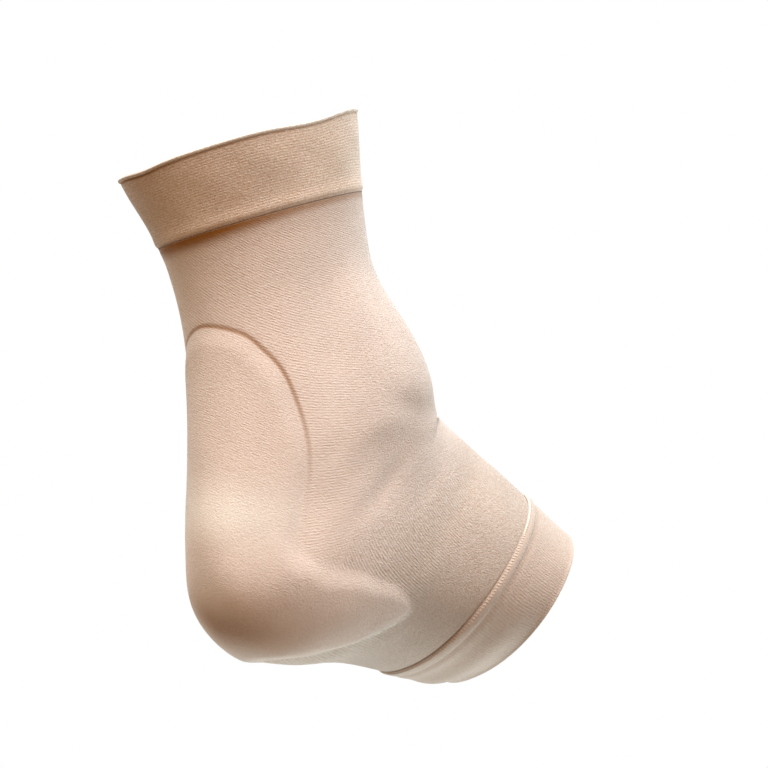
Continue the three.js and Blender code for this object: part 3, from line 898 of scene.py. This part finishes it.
@dataclass(frozen=True)
class SleeveBody:
    """The single knit from the cuff's seam to the toe band's, stretched over the pad and round the heel.

    Its lines change from the leg's to the foot's across a line through foot_from, square to foot_toward. Both
    are seen along the thread lay's axis, to the right and up.
    """

    form: Form
    pad: PadOutline
    lay: ThreadLay
    wall: float = 1.2
    rows: int = 264
    inner_rows: int = 56
    columns: int = 248
    pressed: float = 0.14
    lip: float = 0.3
    tuck: float = 0.3
    dip: float = 0.34
    course_share: float = 0.54
    wale_share: float = 1.1
    pad_share: float = 0.3
    foot_from: tuple[float, float] = (6.5, -44.7)
    foot_toward: tuple[float, float] = (0.569, -0.823)
    crease: Crease = Crease()
    # Painted shade on the heel's underside
    heel_painted_shade: Patch = Patch(-28, -66, 20, 7, 0.7, 0.18)
    # Painted highlight on the heel's bulge
    bulge_painted_highlight: Patch = Patch(-27, -25, 24, 10, 0.9)
    folds: tuple[Fold, ...] = (
        Fold(36, 11.5, -25, 8, 5, -0.9),
        Fold(28, -17, 52, 10, 4, -0.75),
        Fold(36, -11, 50, 12, 3, 0.45),
        Fold(43, -17, 50, 9, 3, -0.4),
        Fold(18, -26, 48, 10, 4, -0.35),
        Fold(5, 50, 70, 14, 7, -0.35),
        Fold(-25, -50, 0, 28, 15, 1.8),
        Fold(44.6, 3.4, 78, 3.5, 0.9, 0.3),
        Fold(46.2, 3.2, 78, 3.5, 0.9, -0.4),
        Fold(9, -4, 45, 7, 3.5, -0.25),
        Fold(24, 4, 30, 8, 4, 0.35),
    )

    def height(self, place: np.ndarray, angle: np.ndarray, inside: np.ndarray) -> np.ndarray:
        """Gives the knit's outer height over the form: bumps, pad, folds and the dips at both seams.

        Args:
            place: Section numbers.
            angle: Angles round the form, in degrees.
            inside: Distances inside the pad's outline, in millimetres.

        Returns:
            Heights in millimetres.
        """
        pressed = self.pressed * hump(inside, -0.6, 1.4) * self.groove_share(place)
        lip = self.lip * smoothstep(place, BAND_SEAM - 0.09, BAND_SEAM)
        tucked = self.tuck * smoothstep(place, CUFF_SEAM + 0.06, CUFF_SEAM)
        dip = self.dip * hump(place, CUFF_SEAM + 0.24, 0.28)
        raised = self.form.bump_height(place, angle) + self.pad.relief(place, angle, inside)
        raised = raised + self.crease.height(place, angle) + self.soft_folds(place, angle)
        return raised - pressed - lip - tucked - dip

    def groove_share(self, place: np.ndarray) -> np.ndarray:
        """Gives how deep the pad's border is pressed in: most at its top, none by the heel."""
        return 0.85 * smoothstep(place, 5.2, 3.0)

    def soft_folds(self, place: np.ndarray, angle: np.ndarray) -> np.ndarray:
        """Adds up the inner side's soft folds in millimetres, each a long bell seen along the lay's axis."""
        u, v = self.lay.spread(self.form.point(place, angle))
        total = np.zeros(u.shape)
        for fold in self.folds:
            turn = np.radians(fold.slant)
            along = (u - fold.right) * np.cos(turn) + (v - fold.up) * np.sin(turn)
            across = (v - fold.up) * np.cos(turn) - (u - fold.right) * np.sin(turn)
            total = total + fold.high * hump(along, 0, fold.long) * hump(across, 0, fold.wide)
        return total * smoothstep(np.abs(angle - 270), 95, 70)

    def zones(self, place: np.ndarray, angle: np.ndarray, inside: np.ndarray, points: np.ndarray) -> Zones:
        """Works out which part of the knit each vertex lies in, from the same values as the marks."""
        u, v = self.lay.spread(points)
        over_pad = smoothstep(inside, -0.6, 1.2)
        past = (u - self.foot_from[0]) * self.foot_toward[0] + (v - self.foot_from[1]) * self.foot_toward[1]
        return Zones(
            right=u,
            up=v,
            on_foot=smoothstep(past, -9, 8),
            over_pad=over_pad,
            under_heel=smoothstep(place, 3.4, 5.2) * over_pad,
            in_front=smoothstep(np.abs(from_front(angle)), 62, 38) * smoothstep(place, 5.2, 6.2),
            by_band=smoothstep(place, 8.3, 9.8),
            loose=smoothstep(u, 8, 32),
        )

    def line_shares(self, zones: Zones, angle: np.ndarray) -> np.ndarray:
        """Gives the shares of the leg's courses, the foot's wales and the lines over the pad."""
        bare = 1 - zones.over_pad
        courses = bare * (1 - zones.on_foot) * (1 - 0.25 * smoothstep(zones.up, 25, -5))
        courses = courses * (1 - 0.65 * zones.loose) * (1 - 0.4 * zones.in_front)
        wales = bare * zones.on_foot * (1 - zones.by_band) * (1 - zones.in_front)
        wales = wales * (1 - 0.8 * smoothstep(from_inner(angle), 95, 130))
        over_pad = zones.over_pad * (1 - zones.under_heel)
        return side_by_side(self.course_share * courses, self.wale_share * wales, self.pad_share * over_pad)

    def crepe(self, zones: Zones) -> np.ndarray:
        """Gives the crepe's share: more over the pad, where lines cross, and where they are lost."""
        crossing = 4 * zones.on_foot * (1 - zones.on_foot)
        total = 0.5 + 0.2 * crossing + (0.2 - 0.15 * zones.under_heel) * zones.over_pad
        total = total + 0.6 * zones.by_band + 0.45 * zones.in_front + 0.6 * zones.loose
        return np.clip(total, 0, 1.3)

    def painted_shade(self, zones: Zones, place: np.ndarray, angle: np.ndarray) -> np.ndarray:
        """Gives the painted shade's shares: painted shadow at the band's seam and in the dip under the cuff,
        and painted shade on the heel's underside.
        """
        # Painted shadow along the band's seam, low on the inner side
        seam = 0.2 * smoothstep(place, BAND_SEAM - 0.07, BAND_SEAM - 0.03) * inner_sole(angle, 60, 35)
        # Painted shadow of the cuff's hem on the body below it, strongest at the back
        reach = CUFF_SEAM + 0.14 + 0.16 * behind(angle)
        cuff_painted_shadow = (0.5 + 0.45 * behind(angle)) * smoothstep(place, reach, CUFF_SEAM + 0.04)
        cuff_painted_shadow = cuff_painted_shadow * (1 - self.start(place)) + 0.16 * smoothstep(place, CUFF_SEAM + 0.8, CUFF_SEAM + 0.1)
        # Painted shade on the heel's underside
        under = self.heel_painted_shade.share_at(zones) * zones.over_pad * smoothstep(from_inner(angle), 125, 95)
        return np.clip(seam + cuff_painted_shadow + under, 0, 1)

    def painted_light(self, zones: Zones, place: np.ndarray, angle: np.ndarray, inside: np.ndarray) -> np.ndarray:
        """Gives the painted light's shares: a painted highlight along the pad's crisp border and on its
        bulge, and painted light on the knit's ends at the seams.
        """
        crisp = self.pad.crisp(place, angle) * smoothstep(from_back(angle), 60, 52)
        # Painted highlight along the pad's crisp front border
        ridge = 0.35 * hump(inside, -1.2, 1.0) * crisp
        # Painted highlight on the heel's bulge
        bulge = self.bulge_painted_highlight.share_at(zones) * zones.over_pad
        # Painted light on the knit's end under the band's lap, lightening the shadow there
        end = smoothstep(place, BAND_SEAM - 0.06, BAND_SEAM - 0.03) * (1 - inner_sole(angle, 65, 40))
        # Painted light also where the knit starts under the cuff's hem
        return ridge + bulge + end + 0.6 * self.start(place)

    def start(self, place: np.ndarray) -> np.ndarray:
        """Gives a share that is 1 where the knit starts under the cuff's hem."""
        return smoothstep(place, CUFF_SEAM + 0.04, CUFF_SEAM + 0.02)

    def marks(self, place: np.ndarray, angle: np.ndarray, inside: np.ndarray, points: np.ndarray) -> Marks:
        """Works out the finish's values: the lines' coordinates, the share of each, the edges and the tones.

        Args:
            place: Section numbers.
            angle: Angles round the form, in degrees.
            inside: Distances inside the pad's outline, in millimetres.
            points: The vertices in millimetres.

        Returns:
            The values by attribute name.
        """
        zones = self.zones(place, angle, inside, points)
        stretched = np.maximum(smoothstep(place, 6.0, 8.0), 0.25 * smoothstep(zones.right, 26, 46))
        stretched = 0.65 * stretched * (1 - zones.over_pad)
        painted_light = self.painted_light(zones, place, angle, inside)
        return {
            "courses": self.lay.courses(points),
            "wales": self.lay.wales(points),
            "pad_lines": self.lay.pad_lines(points),
            "line_shares": self.line_shares(zones, angle),
            # edges holds the distance inside the pad, the painted shade's share and the crepe's share; tones
            # holds the groove's share, the painted light's share and the stretched tone's share
            "edges": side_by_side(inside, self.painted_shade(zones, place, angle), self.crepe(zones)),
            "tones": side_by_side(self.groove_share(place), painted_light, stretched),
        }

    def build(self, finish: bpy.types.Material) -> bpy.types.Object:
        """Makes the knit as one wall: rings down its outer face and back up its inner one.

        A ring is the form at one place, moved along its normals by the height and, inside, by the wall.

        Args:
            finish: The knit's material.

        Returns:
            The piece.
        """
        outer = np.linspace(CUFF_SEAM, BAND_SEAM, self.rows)
        inner = np.linspace(BAND_SEAM, CUFF_SEAM, self.inner_rows)
        angles = np.arange(self.columns) * 360 / self.columns
        place, angle = np.meshgrid(np.concatenate([outer, inner]), angles, indexing="ij")
        depth = np.concatenate([np.zeros(self.rows), np.full(self.inner_rows, self.wall)])[:, None]
        inside = self.pad.distance(place, angle)
        points = self.form.over(place, angle, self.height(place, angle, inside) - depth)
        marks = self.marks(place, angle, inside, points)
        piece = new_piece("knit_body", points, ring_faces(len(place), self.columns), marks, finish)
        return dress(piece, "sleeve_body")


@dataclass(frozen=True)
class TopCuff:
    """The doubled cuff: a rolled rim, courses round it, and a soft hem that laps over the body's start."""

    form: Form
    lay: ThreadLay
    wall: float = 1.2
    proud: float = 0.9
    seam_gap: float = 0.3
    course_apart: float = 1.0
    course_high: float = 0.02
    rim_bead: float = 0.45
    rim_groove: float = 0.14
    rim_sag: float = 1.8
    slack: float = 0.82
    edge_roll: float = 0.25
    edge_rise: float = 0.75
    lap: float = 0.8
    wave_high: float = 0.14
    columns: int = 300
    rows_per_course: int = 5

    def profile(self, down: np.ndarray) -> np.ndarray:
        """Gives the cuff's outer height at distances down from its rim.

        It is the proud height, a thin round bead at the rim with a groove under it, a sine for the courses,
        and a soft roll that falls to the body over its last millimetres.

        Args:
            down: Millimetres down from the rim.

        Returns:
            Heights over the form in millimetres.
        """
        tall = self.form.cuff_tall - self.seam_gap
        bead = self.rim_bead * round_bead(down, 0.6, 0.7)
        groove = self.rim_groove * hump(down, 1.6, 0.4)
        courses = self.course_high * np.cos(2 * np.pi * down / self.course_apart)
        courses = courses * smoothstep(down, 1.8, 2.6) * smoothstep(down, tall - 0.8, tall - 1.6)
        roll = self.edge_roll * hump(down, tall - 1.8, 2.4)
        slack = self.slack * smoothstep(down, 6, tall - 3)
        fall = self.proud + self.edge_roll - self.edge_rise
        fall = fall * smoothstep(down, tall - 1.2, tall + self.lap)
        return self.proud - slack + bead - groove + courses + roll - fall

    def waves(self, place: np.ndarray, angle: np.ndarray) -> np.ndarray:
        """Gives the slack knit's waves in millimetres: two slanted sines, none at the rim and hem."""
        down = (place - CUFF_RIM) / (CUFF_SEAM - CUFF_RIM)
        turn = np.radians(angle)
        slanted = np.sin(6 * turn + 4 * down + 0.8) + 0.7 * np.sin(11 * turn - 5 * down)
        return self.wave_high * slanted * smoothstep(down, 0.1, 0.4) * smoothstep(down, 0.95, 0.6)

    def sag(self, angle: np.ndarray) -> np.ndarray:
        """Gives how far the rim slips down in millimetres: most on the inner side, less at the back."""
        return self.rim_sag * (hump(angle, 268, 20) + 0.5 * hump(angle, 180, 14))

    def rings(self) -> tuple[np.ndarray, np.ndarray]:
        """Gives the wall's rings, down its outer face and back up inside: millimetres down, and heights."""
        tall = self.form.cuff_tall - self.seam_gap
        step = self.course_apart / self.rows_per_course
        down = np.concatenate([np.linspace(0, 1.8, 14), np.arange(1.8 + step, tall - 1.4, step),
                               np.linspace(tall - 1.4, tall + self.lap, 14)])
        back_up = np.linspace(tall, 0.4, 16)
        under = np.full(len(back_up), -self.wall)
        height = np.concatenate([self.profile(down), [-0.15], under])
        height[0] = (self.proud - self.wall) / 2
        return np.concatenate([down, [tall + 0.1], back_up]), height

    def painted_shade(self, points: np.ndarray, angle: np.ndarray, down: np.ndarray) -> np.ndarray:
        """Gives the painted shade's shares: painted shade in the groove under the rim's bead, painted shadow
        along the hem, and painted shade at the rear.
        """
        hem = self.form.cuff_tall - self.seam_gap
        # Painted shade in the groove under the rim's bead, stronger at the back
        bead = (0.05 + 0.5 * behind(angle)) * hump(down, 1.7, 0.5)
        # Painted shadow along the hem where it laps over the body
        lap = (0.1 + 0.25 * behind(angle)) * smoothstep(down, hem - 0.6, hem + 0.4)
        # The last term is painted shade on the cuff's rear, far to the left along the lay's axis
        return np.clip(bead + lap + 0.45 * smoothstep(self.lay.spread(points)[0], -40, -64), 0, 1)

    def build(self, finish: bpy.types.Material) -> bpy.types.Object:
        """Makes the cuff as one wall, its profile carried round the form.

        Args:
            finish: The doubled knit's material.

        Returns:
            The piece.
        """
        down, height = self.rings()
        outside = np.where(height > -1, 1, 0.25)[:, None]
        down, angle = np.meshgrid(down, np.linspace(0, 360, self.columns + 1), indexing="ij")
        place = down / self.form.cuff_tall * (CUFF_SEAM - CUFF_RIM) + CUFF_RIM
        raised = height[:, None] + self.waves(place, angle) + self.form.bump_height(place, angle)
        upper = np.clip(1 - down / (self.form.cuff_tall - self.seam_gap), 0, 1)
        place = place + upper * self.sag(angle) / self.form.cuff_tall
        points = self.form.over(place, angle, raised)
        around = angle / 360 * self.form.round_length(0.5)
        crepe = outside * (0.8 - 0.6 * smoothstep(from_inner(angle), 118, 148))
        marks = {
            "courses": side_by_side(around, down + 0.25 * self.course_apart),
            "pad_lines": self.lay.pad_lines(points),
            "line_shares": side_by_side(0.3 * smoothstep(down, 2.0, 3.0), 0, 0),
            "edges": side_by_side(FAR_OUTSIDE, self.painted_shade(points, angle, down), crepe),
            # Painted highlight: the pale share on the rim's bead
            "tones": side_by_side(0, 0.8 * smoothstep(down, 1.5, 0.9), 0),
        }
        faces, corners = (ring_faces(len(down), self.columns, whole=whole) for whole in (False, True))
        piece = new_piece("doubled_cuff", points[:, :-1], faces, marks, finish, corners)
        return dress(piece, "top_cuff")


@dataclass(frozen=True)
class ToeBand:
    """The ribbed band: the roll of its seam, a groove, pleats under the sole, and a thin rim bead with a
    painted highlight.
    """

    form: Form
    lay: ThreadLay
    wall: float = 1.2
    proud: float = 0.48
    seam_gap: float = 0.3
    lap: float = 0.5
    roll_high: float = 0.35
    dip_deep: float = 0.15
    lap_deep: float = 0.46
    pleat_high: float = 0.5
    bead_high: float = 0.3
    ribs: int = 206
    rib_high: float = 0.028
    lean: float = -0.45
    columns_per_rib: int = 4
    rows: int = 62

    def height(self, along: np.ndarray, angle: np.ndarray) -> np.ndarray:
        """Gives the band's outer height at distances from its seam, round the form.

        It is the proud height and a half round roll at the seam, a dip after it, sines for the ribs and
        for the pleats, which a bell keeps under the sole, and a bead at the rim.

        Args:
            along: Millimetres from the seam.
            angle: Angles round the form, in degrees.

        Returns:
            Heights over the form in millimetres.
        """
        wide = self.form.band_wide
        roll = self.roll_high * round_bead(along, 1.7, 1.9) ** 1.3
        dip = self.dip_deep * hump(along, 4.9, 1.3) + self.lap_deep * smoothstep(along, 0.9, -self.lap)
        ribs = self.rib_high * np.cos(np.radians(angle - self.lean * along) * self.ribs)
        ribs = ribs * smoothstep(along, 1.2, 4.0) * smoothstep(along, wide - 0.4, wide - 1.6)
        under = hump(from_back(angle), 0, 48)
        pleats = self.pleat_high * under * np.sin(np.pi * 4 * along / wide) * smoothstep(along, 3, 6)
        bead = self.bead_high * hump(along, wide - 0.9, 0.7)
        ends = np.sqrt(np.clip((wide - along) / 0.9, 0, 1))
        return (self.proud + roll - dip + ribs + pleats + bead) * ends - 0.3 * (1 - ends)

    def build(self, finish: bpy.types.Material) -> bpy.types.Object:
        """Makes the band as one wall, its height worked out on a grid along and round.

        Args:
            finish: The ribbed knit's material.

        Returns:
            The piece.
        """
        wide = self.form.band_wide
        columns = self.ribs * self.columns_per_rib
        outer = np.concatenate([np.linspace(-self.lap, 5.4, 24), np.linspace(5.9, wide - 1.8, self.rows - 30),
                                wide - 1.4 * (1 - np.sin(np.radians(np.linspace(0, 90, 10))))])
        inner = np.concatenate([np.linspace(wide - 0.4, self.seam_gap, 7), [0.1]])
        rows = np.concatenate([outer, inner])
        along, angle = np.meshgrid(rows, np.linspace(0, 360, columns + 1), indexing="ij")
        around = angle / 360 * self.ribs
        angle = angle + self.lean * along
        place = self.form.band_place(along)
        is_inner = (np.arange(len(rows)) >= len(outer))[:, None]
        under = np.where(along < self.seam_gap, -0.1, -self.wall)
        rise = np.where(is_inner, under, self.height(along, angle)) + self.form.bump_height(place, angle)
        points = self.form.over(place, angle, rise)
        # Painted shadow at the seam's lap, low on the inner side, and painted shade in the dip after the roll
        painted_shade = 0.3 * smoothstep(along, 0.2, -0.3) * inner_sole(angle, 60, 35) + 0.1 * hump(along, 4.9, 1.0)
        marks = {
            "wales": side_by_side(along, around + 0.25),
            "pad_lines": self.lay.pad_lines(points),
            "line_shares": side_by_side(0, 0.5 * smoothstep(along, 1.2, 4.0), 0),
            "edges": side_by_side(FAR_OUTSIDE, painted_shade, 0.6),
            # Painted highlight: the pale share on the rim's bead
            "tones": side_by_side(0, 0.6 * smoothstep(along, wide - 1.2, wide - 0.6), 0.5),
        }
        faces, corners = (ring_faces(len(rows), columns, whole=whole) for whole in (False, True))
        piece = new_piece("ribbed_band", points[:, :-1], faces, marks, finish, corners)
        return dress(piece, "toe_band")


@dataclass(frozen=True)
class GelPad:
    """The gel pad inside: thin up the leg's back, thick round the heel, thinned out at its rim."""

    form: Form
    pad: PadOutline
    knit_wall: float = 1.2
    gap: float = 0.3
    edge_thick: float = 0.9
    edge_wide: float = 7.0
    edge_sink: float = 0.8
    ends_off: float = 0.004
    rows: int = 90
    columns: int = 72

    def build(self, finish: bpy.types.Material) -> bpy.types.Object:
        """Makes the pad as a grid between its sides, with an outer and an inner face and a wall round them.

        Rows follow the share of the way down from the top and are closer there, columns the share of the
        half angle. Its outer face lies the knit's wall and a gap under the knit, and its thickness grows from
        the rim inwards.

        Args:
            finish: The gel's material.

        Returns:
            The piece.
        """
        down = self.ends_off + (1 - 2 * self.ends_off) * np.linspace(0, 1, self.rows) ** 1.2
        share = np.sin(np.linspace(-90, 90, self.columns) * np.pi / 180)
        sides = np.array(self.pad.sides)
        half = np.interp(down, sides[:, 0], sides[:, 1])
        angle = 180 + share[None, :] * half[:, None]
        place = self.pad.top + down[:, None] * (self.pad.reach(from_back(angle)) - self.pad.top)
        inside = np.clip(self.pad.distance(place, angle), 0, None)
        full = smoothstep(inside, 0, self.edge_wide)
        thick = self.edge_thick + (self.pad.thickness(down)[:, None] - self.edge_thick) * full
        raised = self.form.bump_height(place, angle) + self.pad.shown(place, angle) * full
        sunk = self.knit_wall + self.gap + (1 - full) * self.edge_sink
        faces_out = self.form.over(place, angle, raised - sunk)
        faces_in = self.form.over(place, angle, raised - sunk - thick)
        count = self.rows * self.columns
        row, column = np.meshgrid(np.arange(self.rows - 1), np.arange(self.columns - 1), indexing="ij")
        at = (row * self.columns + column).reshape(-1)
        outer = np.stack([at, at + self.columns, at + self.columns + 1, at + 1], axis=1)
        inner = outer[:, ::-1] + count
        numbers = np.arange(count).reshape(self.rows, self.columns)
        border = np.concatenate([numbers[:, 0], numbers[-1, 1:], numbers[-2::-1, -1], numbers[0, -2:0:-1]])
        after = np.roll(border, -1)
        wall = np.stack([after, border, border + count, after + count], axis=1)
        points = np.concatenate([faces_out.reshape(-1, 3), faces_in.reshape(-1, 3)])
        piece = new_piece("heel_gel", points, np.concatenate([outer, inner, wall]), {}, finish)
        return dress(piece, "gel_pad")


def tubes(middle: np.ndarray, out: np.ndarray, radius: np.ndarray, sides: int) -> np.ndarray:
    """Rounds curves into tubes.

    Args:
        middle: The curves' points, along the axis before the last.
        out: Unit vectors across the curves.
        radius: The tube's radius at each point of a curve.
        sides: How many sides it has.

    Returns:
        Rings of points, along a new axis before the last.
    """
    along = np.gradient(middle, axis=-2)
    along /= np.linalg.norm(along, axis=-1, keepdims=True)
    beside = np.cross(along, out)
    turn = np.arange(sides)[:, None] * 2 * np.pi / sides
    ring = out[..., None, :] * np.cos(turn) + beside[..., None, :] * np.sin(turn)
    return middle[..., None, :] + ring * radius[:, None, None]


@dataclass(frozen=True)
class SeamStitches:
    """The toe band's seam: ladder stitches across it all the way round, and the raised cord at its top."""

    form: Form
    apart: float = 1.2
    reach: float = 0.7
    off_seam: float = 0.15
    sunk: float = 0.25
    arch: float = 0.35
    climb: float = 0.5
    thread: float = 0.16
    cord: float = 0.5
    cord_off: float = 0.05
    cord_rise: float = 0.35
    cord_from: float = 283.0
    cord_to: float = 338.0
    cord_waves: int = 42

    def ladder(self) -> tuple[np.ndarray, np.ndarray]:
        """Makes the stitches: short arcs across the seam, each a tube of six sides that closes at its ends.

        Along a stitch the height is a half sine that climbs to the band, and its radius about the root of one
        minus the share squared.

        Returns:
            Points of all stitches in millimetres, and their quads.
        """
        count = int(self.form.round_length(BAND_SEAM) / self.apart)
        share = np.sin(np.radians(np.linspace(-90, 90, 7)))
        angle, share = np.meshgrid(np.arange(count) * 360 / count, share, indexing="ij")
        place = self.form.band_place(share * self.reach + self.off_seam)
        rise = -self.sunk + self.arch * np.cos(share * np.pi / 2) + self.climb * (share + 1)
        middle = self.form.over(place, angle, rise)
        radius = self.thread * np.sqrt(np.clip(1.02 - share[0] ** 2, 0, 1))
        points = tubes(middle, self.form.normal(place, angle), radius, 6)
        faces = ring_faces(share.shape[1], 6, closed=False)[:, ::-1]
        offsets = (np.arange(count) * share.shape[1] * 6)[:, None, None]
        return points.reshape(-1, 3), (faces[None] + offsets).reshape(-1, 4)

    def raised_cord(self) -> tuple[np.ndarray, np.ndarray]:
        """Makes the cord on top of the seam: a tube of ten sides that thins to both ends, lightly waved.

        Returns:
            Points in millimetres, and quads.
        """
        share = np.linspace(0, 1, 180)
        angle = self.cord_from + (self.cord_to - self.cord_from) * share
        place = self.form.band_place(np.full(len(share), self.cord_off))
        middle = self.form.over(place, angle, np.full(len(share), self.cord_rise))
        thin = np.clip(np.minimum(share / 0.25, (1 - share) / 0.2), 0.001, 1) ** 0.5
        radius = self.cord * thin * (1 + 0.08 * np.sin(share * 2 * np.pi * self.cord_waves))
        points = tubes(middle, self.form.normal(place, angle), radius, 10)
        return points.reshape(-1, 3), ring_faces(len(share), 10, closed=False)[:, ::-1]

    def build(self, finish: bpy.types.Material) -> bpy.types.Object:
        """Makes the stitches and the cord as one piece.

        Args:
            finish: The thread's material.

        Returns:
            The piece.
        """
        stitches, quads = self.ladder()
        cord, cord_quads = self.raised_cord()
        points = np.concatenate([stitches, cord])
        faces = np.concatenate([quads, cord_quads + len(stitches)])
        piece = new_piece("seam_thread", points, faces, {}, finish)
        return dress(piece, None)


@dataclass(frozen=True)
class Lobe:
    """A soft patch of the room's light: the view's right, up and back, where it fades, and its colour."""

    toward: tuple[float, float, float]
    low: float
    high: float
    light: tuple[float, float, float]


@dataclass(frozen=True)
class Studio:
    """A pale floor, a soft room that is bright above and behind, and the camera low at the inner rear."""

    lay: ThreadLay
    distance: float = 0.85
    aim_right: float = 0.02618
    aim_up: float = 0.01927
    pixels_per_unit: float = 2337.5
    floor_low: float = -0.3
    bright: float = 0.75
    dim: tuple[float, float, float] = (0.15, 0.07, 0.005)
    lobes: tuple[Lobe, ...] = (
        Lobe((0, 1, 0.8), 0.2, 0.95, (0.4, 0.34, 0.26)),
        Lobe((0, 1, 0), 0.1, 0.95, (0.88, 0.96, 0.98)),
        Lobe((0, 1, -1), 0.2, 0.98, (0.45, 0.62, 0.75)),
        Lobe((0, 0.1, 1), 0.3, 0.98, (0.16, 0.02, 0)),
        Lobe((0.6, 0.2, -1), 0.15, 0.95, (0.85, 0.95, 1.0)),
        Lobe((0, 0, -1), 0.3, 0.95, (0.65, 0.7, 0.7)),
        Lobe((0.7, -1, -0.5), 0.5, 0.95, (0.68, 0.95, 1.0)),
        Lobe((0, -1, 0), 0.5, 0.98, (0.26, 0.25, 0.17)),
        Lobe((-1, 0.6, 0), 0.3, 0.98, (0.5, 0.42, 0.3)),
        Lobe((1, 0, 0), 0.3, 0.98, (0.05, 0.1, 0.16)),
    )

    def camera(self) -> None:
        """Puts the camera on the view's axis, looking along it, with the lens for the picture's scale."""
        right, up, back = self.lay.axes()
        at = right * self.aim_right + up * self.aim_up + back * self.distance
        data = bpy.data.cameras.new("camera")
        data.sensor_width = 36.0
        data.lens = self.pixels_per_unit / PICTURE_WIDE * data.sensor_width
        data.clip_start = 0.05
        camera = bpy.data.objects.new("camera", data)
        camera.matrix_world = Matrix([(*[float(axis[row]) for axis in (right, up, back)], float(at[row]))
                                      for row in range(3)] + [(0, 0, 0, 1)])
        bpy.context.scene.collection.objects.link(camera)
        bpy.context.scene.camera = camera

    def floor(self) -> None:
        """Lays the pale floor under the sleeve, out of the way of the light that it gets from below."""
        corners = np.array([(-1, -1), (1, -1), (1, 1), (-1, 1)]) * 3000
        points = np.column_stack([corners, np.full(4, self.floor_low / MM)])
        made, tree = new_material("painted_floor")
        shader = add_node(tree, "BsdfPrincipled", {"Base Color": linear("#f4f2ef"), "Roughness": 0.9})
        add_node(tree, "OutputMaterial", {}, {"Surface": shader.outputs[0]})
        floor = new_piece("floor", points, np.array([[0, 1, 2, 3]]), {}, made)
        floor.visible_diffuse = False
        floor.visible_shadow = False

    def room(self) -> None:
        """Lights the room with its lobes, and shows it white behind the sleeve."""
        world = bpy.data.worlds.new("room")
        world.use_nodes = True
        tree = world.node_tree
        tree.nodes.clear()
        axes = np.array(self.lay.axes())
        where = add_node(tree, "TexCoord")
        total = add_node(tree, "VectorMath", {"operation": "ADD", 0: (0, 0, 0), 1: self.dim})
        for lobe in self.lobes:
            toward = np.array(lobe.toward) @ axes
            toward = tuple(float(x) for x in toward / np.linalg.norm(toward))
            facing = add_node(tree, "VectorMath", {"operation": "DOT_PRODUCT", 1: toward},
                              {0: where.outputs["Generated"]})
            share = add_node(tree, "MapRange",
                             {"interpolation_type": "SMOOTHSTEP", 1: lobe.low, 2: lobe.high},
                             {0: facing.outputs["Value"]})
            total = add_node(tree, "VectorMath", {"operation": "MULTIPLY_ADD", 1: lobe.light},
                             {0: share.outputs[0], 2: total.outputs[0]})
        ray = add_node(tree, "LightPath")
        light = add_node(tree, "Background", {"Strength": self.bright}, {"Color": total.outputs[0]})
        backdrop = add_node(tree, "Background", {"Color": (1, 1, 1, 1), "Strength": 1.0})
        mixed = add_node(tree, "MixShader", {}, {0: ray.outputs["Is Camera Ray"], 1: light.outputs[0],
                                                 2: backdrop.outputs[0]})
        add_node(tree, "OutputWorld", {}, {"Surface": mixed.outputs[0]})
        bpy.context.scene.world = world

    def lamp(self, name: str, toward: Vector, far: float, wide: float, power: float, colour: str) -> None:
        """Hangs one square soft light that faces the frame's origin.

        Args:
            name: The lamp's name.
            toward: Direction from the origin to the lamp.
            far: Its distance in metres.
            wide: Its side in metres.
            power: Its power in watts.
            colour: Its colour as sRGB hex.
        """
        data = bpy.data.lights.new(name, "AREA")
        data.shape = "SQUARE"
        data.size = wide
        data.energy = power
        data.color = linear(colour)[:3]
        lamp = bpy.data.objects.new(name, data)
        lamp.location = toward.normalized() * far
        lamp.rotation_euler = toward.to_track_quat("Z", "Y").to_euler()
        bpy.context.scene.collection.objects.link(lamp)

    def build(self) -> None:
        """Sets up the camera, floor, room and lamps."""
        self.camera()
        self.floor()
        self.room()
        right, up, back = (Vector(axis) for axis in self.lay.axes())
        self.lamp("key_softbox", right * 0.04 + up + back * 0.38, 1.2, 0.7, 16.3, "#f7fbff")
        self.lamp("bounce_card", right * 0.3 - up - back * 0.5, 1.2, 0.8, 9.6, "#e2f5ff")
        bpy.context.scene.view_settings.view_transform = "Standard"


def main() -> None:
    """Builds the sleeve's pieces and the studio in order."""
    logging.basicConfig(level=logging.INFO, format="%(name)s: %(message)s")
    form = Form()
    lay = ThreadLay()
    pad = PadOutline(form)
    knit = KnitFinish("elastic_knit", "#f1e3d9", "#dcc4b2", tuple(KnitLay))
    doubled = KnitFinish("doubled_elastic_knit", "#f9e7d6", "#d8ba9f", (KnitLay.COURSES,), contrast=0.9,
                         crepe_size=(1.2, 2.0, 1.6))
    ribbed = KnitFinish("ribbed_elastic_knit", "#f1e2d7", "#dbc2b0", (KnitLay.WALES,))
    Studio(lay).build()
    SleeveBody(form, pad, lay).build(knit.material())
    TopCuff(form, lay).build(doubled.material())
    ToeBand(form, lay).build(ribbed.material())
    SeamStitches(form).build(ThreadFinish().material())
    GelPad(form, pad).build(GelFinish().material())


if __name__ == "__main__":
    main()
